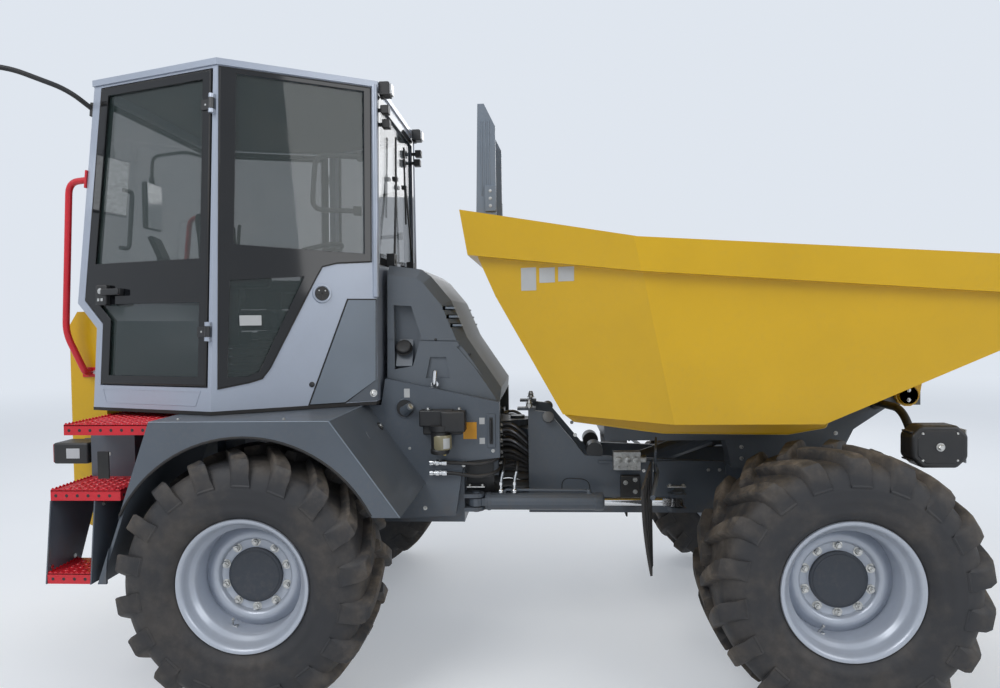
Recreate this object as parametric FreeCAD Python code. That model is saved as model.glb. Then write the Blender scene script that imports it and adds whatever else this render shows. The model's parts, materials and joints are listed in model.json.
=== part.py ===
import FreeCAD, Part
import math
import os

# Site dumper with cab: articulated frame, four wheels, front-tipping skip.
# Millimetres. +X towards the skip, +Y to the far side, +Z up, ground at Z = 0.
# Every piece is symmetric about the plane Y = 0 unless a comment says otherwise.

V = FreeCAD.Vector

# Overall layout
wheelbase = 2603.0
lip_reach = 1099.0
mirror_reach = 1590.0
rim_proud = 42.0
rear_axle_x = (mirror_reach - wheelbase - lip_reach - rim_proud) / 2
front_axle_x = rear_axle_x + wheelbase
pivot_ahead_of_rear_axle = 1170.0
pivot_x = rear_axle_x + pivot_ahead_of_rear_axle
running_gap = 0.05
clear_gap = 6.0
seat_gap = 0.3

# Wheels
tyre_radius = 585.0
tyre_half_width = 250.0
track_half = 995.0
carcass_radius = 546.0
lug_count = 18
lug_width = 66.0
lug_top_share = 0.76
tread_gap = 24.0
lug_angle = 32.0
rim_radius = 299.0
rim_half_width = 215.0
bead_radius = 286.0
seat_radius = 278.0
well_radius = 250.0
disc_setback = 161.0
rim_wall = 12.0
flange = 12.0
rim_sides = 18
hub_length = 190.0
spindle_setback = 50.0
hub_cap_radius = 125.0
bulge_radius = 205.0
bulge_height = 14.0
spindle_radius = 60.0
axle_tube = 80.0
axle_sides = 12
axle_z = tyre_radius

# Cab, heights from the ground and stations ahead of the rear axle
cab_floor_z = 1329.0
cab_roof_z = 2975.0
roof_thick = 30.0
roof_lap = 10.0
wall = 45.0
sill_height = 110.0
post_width = 48.0
b_post_foot = (-214.0, 1000.0)
b_post_head = (-176.0, 930.0)
rear_post_head = (-925.0, 678.0)
rear_post_reach = 900.0
front_post_head = (481.0, 529.0)
front_post_foot_x = 470.0
notch_top = (-1038.0, 1851.0)
notch_bottom = (-910.0, 1724.0)
rear_post_foot_x = -930.0
glass_thick = 6.0
door_gap = 7.0

# Skip, stations ahead of the front axle
skip_rear_setback = 192.0
rim_rear_x = pivot_ahead_of_rear_axle - wheelbase - skip_rear_setback
rim_rear_half = 850.0
rim_rear_z = 2247.0
crease_x = -881.0
crease_z = 2080.0
rim_half = 1150.0
lip_z = 1946.0
knee_x = rim_rear_x + 125
knee_z = 1850.0
belly_rear_x = rim_rear_x + 437
belly_rear_z = 1290.0
belly_crease_x = -706.0
belly_z = 1268.0
belly_half = 1062.0
nose_x = -65.0
lip_low_z = 1787.0
skip_wall = 12.0
band_rear_z = 2045.0
band_crease_z = 1936.0
tip_pivot_ahead = 577.0
tip_pivot_z = 1330.0
tip_pin_radius = 32.0
tip_ear = 24.0

# Chassis
chassis_low_z = 669.0
beam_y = 390.0
beam_width = 120.0
beam_top_z = 869.0
rear_end = -1010.0
front_plate_y = 250.0
joint_box_setback = 270.0
joint_box_top = 1200.0
joint_wing = 300.0
joint_eye_radius = 95.0
joint_pin_radius = 42.0
joint_low_z = 700.0
joint_high_z = 1130.0
joint_plate = 35.0
hub_reach = track_half + rim_half_width - disc_setback

# Steering cylinders, from the articulation pivot
steer_base = -210.0
steer_eye = 845.0
steer_y = 430.0
steer_z = 775.0
steer_pin_radius = 20.0
eye_half = 20.0
ear_half = 45.0
ear_thick = 20.0

# Bodywork and steps
panel_half = 520.0
hood_half = 465.0
hood_skin = 18.0
hood_chamfer = 52.0
pocket_depth = 60.0
rear_panel_half = 520.0
cover_depth = 195.0
cover_low_z = 650.0
cover_top_z = 1812.0
cover_bend = 150.0
guard_reach = 1200.0
guard_arch_radius = 630.0
sheet = 12.0
platform_z = 1288.0
tread_height = 46.0
step_mid_z = 1000.0
step_low_z = 594.0
step_box_reach = 860.0
glass_setback = 8.0
hinge_margin = 22.0
hinge_inboard = 12.0
hinge_outboard = 19.0
hinge_heights = (cab_roof_z - 215, cab_floor_z + 371)
mid_rail_share = 0.429
mid_rail_height = 185.0
mid_rail_top_z = cab_floor_z + mid_rail_share * (cab_roof_z - cab_floor_z)
mid_rail_low_z = mid_rail_top_z - mid_rail_height
window_sill_z = mid_rail_top_z + 15
beyond = 2500.0
door_thick = 40.0
swivel_station = -230.0
tall_start = 68.0
front_plate = 30.0
front_beam_top = 950.0
tip_base = pivot_ahead_of_rear_axle - wheelbase + 233
tip_base_z = 740.0
tip_cylinder_pin = 24.0
tip_eye = 50.0
tip_eye_z = 1190.0
tip_barrel_share = 0.7
tip_rod_radius = 34.0
support_y = 300.0
support_width = 120.0
guard_slats = 8
steer_barrel = 671.0
steer_rod_radius = 22.0


def rx(distance):
    return rear_axle_x + distance


def fx(distance):
    return front_axle_x + distance


def px(distance):
    return pivot_x + distance


def block(x0, x1, y0, y1, z0, z1):
    return Part.makeBox(x1 - x0, y1 - y0, z1 - z0, V(x0, y0, z0))


def solid_from(points, travel):
    """A flat outline moved along travel."""
    return Part.Face(Part.makePolygon(points + [points[0]])).extrude(travel)


def prism_y(outline, y0, y1):
    """An (x, z) outline between two values of y."""
    return solid_from([V(x, y0, z) for x, z in outline], V(0, y1 - y0, 0))


def prism_x(outline, x0, x1):
    """A (y, z) outline between two values of x."""
    return solid_from([V(x0, y, z) for y, z in outline], V(x1 - x0, 0, 0))


def prism_z(outline, z0, z1):
    """An (x, y) outline between two values of z."""
    return solid_from([V(x, y, z0) for x, y in outline], V(0, 0, z1 - z0))


def bar(start, end, radius):
    """A round bar from start to end."""
    along = end.sub(start)
    return Part.makeCylinder(radius, along.Length, start, along)


def drum(x, z, radius, y0, y1):
    """A round bar along Y."""
    return bar(V(x, y0, z), V(x, y1, z), radius)


def post(x, y, radius, z0, z1):
    """A round bar along Z."""
    return bar(V(x, y, z0), V(x, y, z1), radius)


def joined(shapes):
    """One shape from several that overlap or share faces."""
    first = shapes[0]
    if len(shapes) > 1:
        first = first.fuse(shapes[1:])
    return first.removeSplitter()


def mirrored(shape):
    return shape.mirror(V(0, 0, 0), V(0, 1, 0))


def both_sides(shape):
    return [shape, mirrored(shape)]


def facets(corners):
    """One flat face over three or four corners, or two where the four are twisted."""
    corners = [p for i, p in enumerate(corners) if p.distanceToPoint(corners[i - 1]) > 1e-6]
    if len(corners) < 3:
        return []
    if len(corners) == 4 and abs(flat_normal(corners).dot(corners[3].sub(corners[0]))) > 1e-4:
        return facets(corners[:3]) + facets([corners[0], corners[2], corners[3]])
    return [Part.Face(Part.makePolygon(corners + [corners[0]]))]


def closed(faces):
    """The solid inside a closed skin of faces."""
    skin = Part.makeShell(faces)
    skin.sewShape()
    solid = Part.makeSolid(Part.makeShell(skin.Faces))
    if solid.Volume < 0:
        solid.reverse()
    return solid


def ring(y, radius, angles):
    """Points round the Y axis, at angles in degrees from straight up."""
    return [V(radius * math.sin(math.radians(a)), y, radius * math.cos(math.radians(a))) for a in angles]


def turned(outline, sides):
    """A closed (y, radius) outline carried round the Y axis, in flat facets."""
    angles = [360.0 * i / sides for i in range(sides)]
    rings = [ring(y, r, angles) for y, r in outline]
    faces = []
    for k, last in enumerate(rings):
        first = rings[k - 1]
        for i in range(sides):
            faces += facets([first[i - 1], first[i], last[i], last[i - 1]])
    return closed(faces)


def pipe(points, bend, radius, sides=8):
    """A tube along straight runs, each corner eased by two mitres, in flat facets."""
    line = [points[0]]
    for i in range(1, len(points) - 1):
        corner = points[i]
        back = points[i - 1].sub(corner).normalize()
        ahead = points[i + 1].sub(corner).normalize()
        reach = bend / math.tan(back.getAngle(ahead) / 2)
        line += [corner.add(back.multiply(reach)), corner.add(ahead.multiply(reach))]
    line.append(points[-1])
    ways = [b.sub(a).normalize() for a, b in zip(line, line[1:])]
    turn = FreeCAD.Rotation(V(0, 0, 1), ways[0])
    angles = [2 * math.pi * (i + 0.5) / sides for i in range(sides)]
    rings = [[line[0].add(turn.multVec(V(radius * math.cos(a), radius * math.sin(a), 0))) for a in angles]]
    for k, way in enumerate(ways):
        mitre = V(way).add(ways[min(k + 1, len(ways) - 1)])
        step = [line[k + 1].sub(p).dot(mitre) / way.dot(mitre) for p in rings[-1]]
        rings.append([p.add(V(way).multiply(d)) for p, d in zip(rings[-1], step)])
    faces = [Part.Face(Part.makePolygon(end + [end[0]])) for end in (rings[0], rings[-1])]
    for first, last in zip(rings, rings[1:]):
        for i in range(sides):
            faces += facets([first[i - 1], first[i], last[i], last[i - 1]])
    return closed(faces)


def stud(start, end, radius, sides=8):
    """A round bar that nothing turns on, in flat facets."""
    return pipe([start, end], 1, radius, sides)


def inset(points, normal, margins):
    """Corners of a flat outline after each edge moves inwards by its margin.

    The outline runs anticlockwise when seen against the normal. Edge i joins
    corner i to corner i + 1.
    """
    count = len(points)
    lines = []
    for i in range(count):
        along = points[(i + 1) % count].sub(points[i]).normalize()
        inward = normal.cross(along)
        lines.append((points[i].add(inward.multiply(margins[i])), along))
    corners = []
    for i in range(count):
        before, before_way = lines[i - 1]
        after, after_way = lines[i]
        side = normal.cross(after_way)
        step = after.sub(before).dot(side) / before_way.dot(side)
        corners.append(before.add(V(before_way).multiply(step)))
    return corners


def flat_normal(points):
    """Unit normal of a flat outline that runs anticlockwise."""
    first = points[1].sub(points[0])
    second = points[2].sub(points[0])
    return first.cross(second).normalize()


def slab(points, depth, rise=0.0):
    """A flat outline thickened inwards, from rise above it to depth below it."""
    normal = flat_normal(points)
    lifted = [p.add(V(normal).multiply(rise)) for p in points]
    return solid_from(lifted, V(normal).multiply(-depth - rise))


def trimmed(shape, point, normal):
    """What is left of a shape behind a plane."""
    waste = Part.makeBox(2 * beyond, 2 * beyond, 2 * beyond, V(-beyond, -beyond, 0))
    waste.Placement = FreeCAD.Placement(point, FreeCAD.Rotation(V(0, 0, 1), normal))
    return shape.cut(waste)


parts = {}


def save(node, shapes):
    """Keep one node: its solids, checked one by one."""
    solids = []
    for shape in shapes:
        solids.extend(shape.Solids)
    for solid in solids:
        if not solid.isValid():
            print("not valid:", node)
    parts[node] = Part.makeCompound(solids)


# Wheels

def tyre_half(side, phase):
    """Faces of one half of the tyre, and the ring of its bead's inner edge."""
    pitch = 360.0 / lug_count
    # y from the middle plane, radius between the lugs, radius of the lugs, width of a lug's foot
    tread = [(tread_gap / 2, carcass_radius, tyre_radius, lug_width),
             (tyre_half_width - 62, carcass_radius - 4, tyre_radius, lug_width + 16),
             (tyre_half_width - 12, carcass_radius - 42, tyre_radius - 34, lug_width + 24),
             (tyre_half_width, carcass_radius - 86, carcass_radius - 86, lug_width + 24)]
    feet = []
    tops = []
    for y, low, high, width in tread:
        shift = math.degrees((y - tread_gap / 2) * math.tan(math.radians(lug_angle)) / tyre_radius)
        centres = [phase + shift + pitch * i for i in range(lug_count)]
        foot = math.degrees(width / 2 / low)
        top = math.degrees(width * lug_top_share / 2 / high)
        feet.append(ring(side * y, low, [a for c in centres for a in (c - foot, c + foot)]))
        tops.append(ring(side * y, high, [a for c in centres for a in (c - top, c + top)]))
    tops[-1] = feet[-1]
    middles = [phase + pitch * i for i in range(lug_count)]
    middle = ring(0, carcass_radius, [a for c in middles for a in (c - pitch / 4, c + pitch / 4)])
    faces = []
    for i in range(2 * lug_count):
        faces += facets([middle[i - 1], middle[i], feet[0][i], feet[0][i - 1]])
    for left in range(0, 2 * lug_count, 2):
        right, before = left + 1, left - 1
        faces += facets([feet[0][left], feet[0][right], tops[0][right], tops[0][left]])
        for foot, foot_out, top, top_out in zip(feet, feet[1:], tops, tops[1:]):
            faces += facets([foot[before], foot[left], foot_out[left], foot_out[before]])
            faces += facets([top[left], top[right], top_out[right], top_out[left]])
            faces += facets([foot[left], top[left], top_out[left], foot_out[left]])
            faces += facets([foot[right], top[right], top_out[right], foot_out[right]])
    # y and the least radius of each ring of the sidewall and bead
    flat = math.cos(math.radians(pitch / 2))
    bead_y = rim_half_width - flange - seat_gap
    rings = [ring(side * y, r / flat, centres) for y, r in (
        (tyre_half_width - 4, carcass_radius - 166), (rim_half_width + 22, bead_radius + 40),
        (bead_y, rim_radius + 2), (bead_y, bead_radius + seat_gap))]
    for i in range(lug_count):
        shoulder = feet[-1]
        faces += facets([shoulder[2 * i], shoulder[2 * i + 1], rings[0][i]])
        faces += facets([shoulder[2 * i - 1], shoulder[2 * i], rings[0][i], rings[0][i - 1]])
        for first, last in zip(rings, rings[1:]):
            faces += facets([first[i - 1], first[i], last[i], last[i - 1]])
    return faces, rings[-1]


def tyre():
    """Carcass and slanted lugs that wrap over both shoulders, in flat facets."""
    start = math.degrees(lug_width * lug_top_share / 2 / tyre_radius)
    half_pitch = 180.0 / lug_count
    near, near_bead = tyre_half(1, start)
    far, far_bead = tyre_half(-1, start + half_pitch)
    bore = []
    for i in range(lug_count):
        bore += facets([near_bead[i - 1], near_bead[i], far_bead[i - 1]])
        bore += facets([near_bead[i], far_bead[i], far_bead[i - 1]])
    return closed(near + far + bore)


def rim():
    """Rim with its deep dish and hub, outer face towards +Y, bored for the spindle."""
    disc_y = rim_half_width - disc_setback
    # y outwards, radius
    inner_well = well_radius - rim_wall
    dish = [
        (-rim_half_width, rim_radius),
        (-rim_half_width, bead_radius - rim_wall),
        (-rim_half_width + 68, inner_well),
        (disc_y - 36, inner_well),
        (disc_y - 24, bulge_radius + 17),
        (disc_y - 4, bulge_radius - 2),
        (disc_y - 4, hub_cap_radius + 52),
        (disc_y - 34, hub_cap_radius + 46),
        (disc_y - 34, hub_cap_radius + 25),
        (disc_y - hub_length, hub_cap_radius),
        (disc_y - hub_length, 0),
        (disc_y + 3, 0),
        (disc_y + 3, hub_cap_radius - 6),
        (disc_y - 16, hub_cap_radius),
        (disc_y - 16, hub_cap_radius + 40),
        (disc_y + bulge_height, hub_cap_radius + 48),
        (disc_y + bulge_height, bulge_radius),
        (disc_y - 8, inner_well - 10),
        (disc_y - 20, inner_well),
        (rim_half_width - 68, inner_well),
        (rim_half_width - 47, seat_radius - rim_wall),
        (rim_half_width - 2, bead_radius - rim_wall + 10),
        (rim_half_width, rim_radius),
        (rim_half_width - flange, rim_radius),
        (rim_half_width - flange, bead_radius),
        (rim_half_width - 50, seat_radius),
        (rim_half_width - 70, well_radius),
        (-rim_half_width + 70, well_radius),
        (-rim_half_width + 50, seat_radius),
        (-rim_half_width + flange, bead_radius),
        (-rim_half_width + flange, rim_radius),
    ]
    bore = drum(0, 0, spindle_radius + running_gap, disc_y - hub_length - 1, disc_y - spindle_setback)
    return turned(dish, rim_sides).cut(bore)


one_tyre = tyre()
one_rim = rim()
# wheel name, station, side
for name, x, side in (("rear_near", rear_axle_x, -1), ("rear_far", rear_axle_x, 1),
                      ("front_near", front_axle_x, -1), ("front_far", front_axle_x, 1)):
    for kind, shape in (("tyre", one_tyre), ("rim", one_rim)):
        placed = shape.copy() if side > 0 else mirrored(shape)
        placed.translate(V(x, side * track_half, axle_z))
        save(kind + "_" + name, [placed])


def axle(x, pad_y, pad_z):
    """Axle housing with its drive gear case, spindles and the pads that it hangs from."""
    # y and radius of one half, from the gear case outwards
    half = [(115, 160), (210, axle_tube), (hub_reach - 205, axle_tube)]
    inboard = half[-1][0]
    outline = [(-inboard, 0)] + [(-y, r) for y, r in reversed(half)] + half + [(inboard, 0)]
    housing = turned(outline, axle_sides)
    housing.translate(V(x, 0, axle_z))
    tip = hub_reach - 60
    spindles = [drum(x, axle_z, spindle_radius, y, y + tip - inboard) for y in (-tip, inboard)]
    pads = [block(x - 70, x + 70, y - 40, y + 40, axle_z, pad_z - seat_gap) for y in (-pad_y, pad_y)]
    return joined([housing] + spindles + pads)


save("rear_axle", [axle(rear_axle_x, beam_y, chassis_low_z)])
save("front_axle", [axle(front_axle_x, front_plate_y - 20, chassis_low_z)])


# Rear chassis

def clevis_plate(z0, z1):
    """One of the two fixed plates of the articulation joint, with its bore."""
    wing = prism_z([(px(-joint_box_setback), -joint_wing), (pivot_x, -joint_eye_radius),
                    (pivot_x, joint_eye_radius), (px(-joint_box_setback), joint_wing)], z0, z1)
    eye = stud(V(pivot_x, 0, z0), V(pivot_x, 0, z1), joint_eye_radius, 16)
    hole = post(pivot_x, 0, joint_pin_radius + running_gap, z0 - 1, z1 + 1)
    return joined([wing, eye]).cut(hole)


def clevis_ears(x, y, z, reach_x, reach_y, pin_ends):
    """Two ears above and below a steering cylinder's eye, with or without a through pin."""
    shapes = []
    for low in (z - eye_half - clear_gap - ear_thick, z + eye_half + clear_gap):
        shapes.append(stud(V(x, y, low), V(x, y, low + ear_thick), ear_half, 12))
        shapes.append(block(min(x, reach_x), max(x, reach_x), min(y - ear_half, reach_y),
                            max(y + ear_half, reach_y), low, low + ear_thick))
    low, high = z - eye_half - clear_gap - ear_thick, z + eye_half + clear_gap + ear_thick
    if pin_ends == "through":
        shapes.append(post(x, y, steer_pin_radius, low - 8, high + 8))
    else:
        shapes.append(stud(V(x, y, low - 8), V(x, y, low), steer_pin_radius + 8))
        shapes.append(stud(V(x, y, high), V(x, y, high + 8), steer_pin_radius + 8))
    return shapes


pieces = []
for side in (-1, 1):
    y = side * beam_y
    pieces.append(block(rx(rear_end), px(-joint_box_setback - 100), y - beam_width / 2, y + beam_width / 2,
                        chassis_low_z, beam_top_z))
    # station of each cab pillar
    for x in (-850.0, 300.0):
        pieces.append(block(rx(x) - 50, rx(x) + 50, y - beam_width / 2, y + beam_width / 2,
                            beam_top_z, cab_floor_z))
    pieces += clevis_ears(px(steer_base), side * steer_y, steer_z,
                          px(-joint_box_setback), side * (steer_y - 10), "through")
# station and length of each cross member
for x, length in ((rear_end, 90.0), (-500.0, 80.0), (480.0, 80.0)):
    pieces.append(block(rx(x), rx(x) + length, -beam_y, beam_y, chassis_low_z, chassis_low_z + 90))
pieces.append(block(px(-joint_box_setback - 100), px(-joint_box_setback), -beam_y - beam_width / 2,
                    beam_y + beam_width / 2, chassis_low_z, joint_box_top))
for z in (joint_low_z, joint_high_z):
    pieces.append(clevis_plate(z, z + joint_plate))
save("rear_chassis", [joined(pieces)])

save("engine_block", [block(rx(480), px(-joint_box_setback - 100) - seat_gap, -270, 270,
                            chassis_low_z + 90 + seat_gap, 1650)])


# Bodywork of the rear frame

panel_outline = [(110, 1302), (476, 1302), (500, 1440), (1095, 1314), (1095, 1025), (905, 1005), (860, 722),
                 (551, 704), (420, 850), (110, 1100)]
panel = prism_y([(rx(x), z - seat_gap) for x, z in panel_outline], -panel_half, -beam_y - beam_width / 2)
save("side_panels", both_sides(panel))

hood_outline = [(510, 2038), (500, 1440), (1095, 1314), (1101, 1380), (940, 1620), (920, 1652), (838, 1848),
                (733, 1976), (681, 2014)]


def hood_form(half, margin, chamfer):
    """The hood's outer or inner form, with its upper and front edges chamfered."""
    margins = [-margin, -margin] + [margin] * (len(hood_outline) - 2)
    line = inset([V(rx(x), 0, z) for x, z in hood_outline], V(0, -1, 0), margins)
    form = prism_y([(p.x, p.z) for p in line], -half, half)
    crest = line[3:] + line[:1]
    edges = []
    for edge in form.Edges:
        ends = [V(v.X, 0, v.Z) for v in edge.Vertexes]
        on_crest = [any(end.distanceToPoint(p) < 1e-3 for p in crest) for end in ends]
        if all(on_crest) and ends[0].distanceToPoint(ends[1]) > 1:
            edges.append(edge)
    return form.makeChamfer(chamfer, edges)


def hood_cut(outline, depth, rise=20):
    """A cutter into both sides of the hood, from an (x, z) outline, to a depth."""
    points = [(rx(x), z) for x, z in outline]
    return both_sides(prism_y(points, -hood_half - rise, depth - hood_half))


hood = hood_form(hood_half, 0, hood_chamfer)
hood = hood.cut(hood_form(hood_half - hood_skin, hood_skin, hood_chamfer - 8))
# x and z of the pocket round the filler, and of the lower pocket over the exhaust
filler_pocket = [(540, 1824), (632, 1819), (683, 1660), (637, 1502), (540, 1485)]
low_pocket = [(729, 1548), (814, 1548), (833, 1437), (706, 1438)]
filler_box = [(522, 1842), (645, 1837), (703, 1660), (650, 1484), (522, 1467)]
pocket_box = prism_y([(rx(x), z) for x, z in filler_box], 1 - hood_half, pocket_depth + 12 - hood_half)
hood = hood.fuse(both_sides(pocket_box))
hood = hood.cut(hood_cut(filler_pocket, pocket_depth) + hood_cut(low_pocket, hood_skin - 6))
# lower and upper x and the height of each louvre
for x0, x1, z in ((800, 875, 1806), (818, 895, 1760), (838, 915, 1714)):
    hood = hood.cut(hood_cut([(x0, z - 11), (x1, z - 11), (x1, z + 11), (x0, z + 11)], hood_chamfer + 12))
# the seam between the upper and lower mouldings, and the slot along the front rib
hood = hood.cut(hood_cut([(500, 1640), (930, 1626), (930, 1632), (500, 1646)], 7))
hood = hood.cut(hood_cut([(872, 1600), (888, 1611), (1062, 1404), (1046, 1395)], 9))
save("engine_hood", [hood.removeSplitter()])

stub_z = 1404.0
save("exhaust_stub", [pipe([V(rx(752), -hood_half - seat_gap, stub_z), V(rx(752), -hood_half - 34, stub_z),
                            V(rx(760), -hood_half - 36, stub_z + 72)], 14, 14)])

# x behind the frame's end and z, round the cover at the back
cover_outline = [(0, cover_low_z), (0, cover_top_z - 112), (90, cover_top_z), (150, cover_top_z),
                 (cover_depth, cover_top_z - 72), (cover_depth, cover_low_z)]
cover_x = rx(rear_end - cover_depth)
rear_panel = prism_y([(rx(rear_end - x), z) for x, z in cover_outline], -rear_panel_half, rear_panel_half)
corner = [e for e in rear_panel.Edges
          if all(abs(v.X - cover_x) < 1 and abs(v.Z - cover_low_z) < 1 for v in e.Vertexes)]
save("rear_panel", [rear_panel.makeFillet(cover_bend, corner)])

filter_y = -panel_half - 50
save("filter_unit", [joined([block(rx(685), rx(925), filter_y - 45, -panel_half, 1150, 1282),
                             stud(V(rx(790), filter_y, 1152), V(rx(790), filter_y, 1050), 48, 16)])])


# Mudguards and steps

guard_outline = [(-655, 590), (704, 590), (704, 890), (400, 1311), (-404, 1311)]
guard_points = [(rx(x), z) for x, z in guard_outline]
shell = prism_y(guard_points, -guard_reach, -panel_half - seat_gap)
inner = inset([V(x, 0, z) for x, z in guard_points], V(0, -1, 0), [-400, sheet, sheet, sheet, sheet])
shell = shell.cut(prism_y([(p.x, p.z) for p in inner], sheet - guard_reach, 0))
shell = shell.cut(drum(rx(15), axle_z + 25, guard_arch_radius, -guard_reach - 5, sheet - guard_reach))
shell = shell.cut(block(rx(0), rx(800), -guard_reach - 5, 0, 500, 890))
save("mudguards", both_sides(shell))

box = block(rx(-885), rx(-665), -step_box_reach, -beam_y - beam_width / 2, 700, platform_z - tread_height)
sides = []
# station of each ladder plate
for x in (-884.0, -680.0):
    ladder = [(-guard_reach + 210, step_low_z), (-guard_reach - 15, step_low_z),
              (-guard_reach + 30, step_mid_z - tread_height), (10 - step_box_reach, step_mid_z - tread_height),
              (10 - step_box_reach, step_mid_z - 130)]
    sides.append(prism_x(ladder, rx(x), rx(x) + 6))
save("step_frames", both_sides(joined([box] + sides)))


def tread(x0, x1, y0, y1, top):
    """A step tray: a plate with its edges turned down."""
    tray = block(x0, x1, y0, y1, top - tread_height + seat_gap, top)
    return tray.cut(block(x0 + 5, x1 - 5, y0 + 5, y1 - 5, top - tread_height - 1, top - 5))


treads = [tread(rx(-837), rx(-445), -guard_reach + 70, -beam_y - beam_width / 2 - seat_gap, platform_z),
          tread(rx(-884), rx(-560), -guard_reach + 35, -step_box_reach - seat_gap, step_mid_z),
          tread(rx(-878) + seat_gap, rx(-680) - seat_gap, -guard_reach - 10, -guard_reach + 210,
                step_low_z + tread_height)]
save("step_treads", [s for shape in treads for s in both_sides(shape)])

lamp = joined([block(rx(-1150), rx(-960), -770, -620, 1040, 1150),
               block(rx(-1120), rx(-1060), -620, -rear_panel_half, 1070, 1120)])
save("rear_lamps", both_sides(lamp))


# Cab walls from the corners of the outer surface, near side

def plane_y(x, z, corners):
    """The y of a point (x, z) on the plane through three corners."""
    normal = flat_normal(corners)
    return corners[0].y - (normal.x * (x - corners[0].x) + normal.z * (z - corners[0].z)) / normal.y


foot_b = V(rx(b_post_foot[0]), -b_post_foot[1], cab_floor_z)
head_b = V(rx(b_post_head[0]), -b_post_head[1], cab_roof_z)
head_r = V(rx(rear_post_head[0]), -rear_post_head[1], cab_roof_z)
head_f = V(rx(front_post_head[0]), -front_post_head[1], cab_roof_z)
rear_side = [foot_b, head_b, head_r]
front_side = [foot_b, head_f, head_b]


def on_rear_side(x, z):
    return V(rx(x), plane_y(rx(x), z, rear_side), z)


def on_front_side(x, z):
    return V(rx(x), plane_y(rx(x), z, front_side), z)


def across(point):
    return V(point.x, -point.y, point.z)


wall_top = cab_roof_z - roof_thick


def at_height(low, high, z):
    """The point at height z on the line from low to high."""
    share = (z - low.z) / (high.z - low.z)
    return low.add(high.sub(low).multiply(share))


top_b = at_height(foot_b, head_b, wall_top)
notch_high = on_rear_side(*notch_top)
notch_low = on_rear_side(*notch_bottom)
foot_r = on_rear_side(rear_post_foot_x, cab_floor_z)
top_r = at_height(notch_high, head_r, wall_top)
foot_f = on_front_side(front_post_foot_x, cab_floor_z)
top_f = at_height(foot_f, head_f, wall_top)

rear_wall_outline = [foot_r, foot_b, top_b, top_r, notch_high, notch_low]
front_wall_outline = [foot_b, foot_f, top_f, top_b]
rear_normal = flat_normal(rear_wall_outline)


def clipped(points, z, above):
    """The part of a flat outline above or below a height."""
    kept = []
    for i, end in enumerate(points):
        start = points[i - 1]
        start_in = (start.z >= z) == above
        end_in = (end.z >= z) == above
        if start_in != end_in:
            kept.append(at_height(start, end, z))
        if end_in:
            kept.append(end)
    return kept


def through(outline):
    """A cutter for a window: the outline carried right through a wall."""
    return slab(outline, wall + 40, 20)


def pane(outline):
    """Glass that fills a window, set back from the outer surface."""
    return slab(outline, glass_setback + glass_thick, -glass_setback)


# Openings of the near side. Margins follow the outline's edges.
door_opening = inset(rear_wall_outline, rear_normal, [sill_height, hinge_margin, 12, post_width, 42, 40])
door_outline = inset(door_opening, rear_normal, [door_gap] * 6)
door_window = inset(door_outline, rear_normal, [34, 40, 30, 42, 40, 40])
door_panes = [clipped(door_window, mid_rail_top_z, True), clipped(door_window, mid_rail_low_z, False)]
high_window = [on_front_side(x, z) for x, z in ((-130, window_sill_z + 50), (428, window_sill_z + 25),
                                                (432, wall_top - 20), (-112, wall_top - 20))]
low_window = [on_front_side(x, z) for x, z in ((-160, 1476), (-70, 1476), (-22, 1500),
                                               (172, window_sill_z - 75), (-146, window_sill_z - 100))]
front_wall = [foot_f, across(foot_f), across(top_f), top_f]
front_window = clipped(inset(front_wall, flat_normal(front_wall), [40, 45, 40, 45]), window_sill_z, True)
rear_high = [across(notch_high), notch_high, top_r, across(top_r)]
rear_window = inset(rear_high, flat_normal(rear_high), [50, 60, 45, 60])
rear_notch = [across(notch_low), notch_low, notch_high, across(notch_high)]
rear_low = [across(foot_r), foot_r, notch_low, across(notch_low)]

walls = []
for outline in (rear_wall_outline, front_wall_outline):
    walls += both_sides(slab(outline, wall))
for outline in (front_wall, rear_high, rear_notch, rear_low):
    walls.append(slab(outline, wall))
plan = [foot_r, foot_b, foot_f, across(foot_f), across(foot_b), across(foot_r)]
walls.append(prism_z([(p.x, p.y) for p in inset(plan, V(0, 0, 1), [8] * 6)], cab_floor_z, cab_floor_z + 40))
nook_x, nook_z = notch_low.x, notch_low.z
nook = [(nook_x, nook_z), (nook_x - 1, nook_z - 40), (nook_x + wall, nook_z - 40),
        (nook_x + wall, nook_z + 35), (nook_x - 36, nook_z + 35)]
nook_block = trimmed(prism_y(nook, -rear_post_reach, rear_post_reach), notch_low, rear_normal)
walls.append(trimmed(nook_block, across(notch_low), across(rear_normal)))
cab = joined(walls).common(block(rx(-1200), rx(600), -1100, 1100, cab_floor_z, wall_top))
for outline in (door_opening, high_window, low_window):
    cab = cab.cut(both_sides(through(outline)))
cab = cab.cut([through(front_window), through(rear_window)])

# Door hinges: the axis runs along the B post, outside its corner
post_way = top_b.sub(foot_b).normalize()
to_rear = rear_normal.cross(post_way)
if to_rear.x > 0:
    to_rear = to_rear.multiply(-1)


def hinge_point(z):
    """The point of the hinge axis at the height z of the B post's corner."""
    corner = at_height(foot_b, top_b, z)
    return corner.add(V(to_rear).multiply(hinge_inboard)).add(V(rear_normal).multiply(hinge_outboard))


def along_post(point, distance):
    return point.add(V(post_way).multiply(distance))


def leaf(z, low, high, first, last, floor):
    """A hinge leaf on the rear side's plane, between two distances behind the corner."""
    corner = at_height(foot_b, top_b, z)
    outline = [along_post(corner, d).add(V(to_rear).multiply(s))
               for d, s in ((low, last), (low, first), (high, first), (high, last))]
    return slab(outline, -floor, 12)


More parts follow.
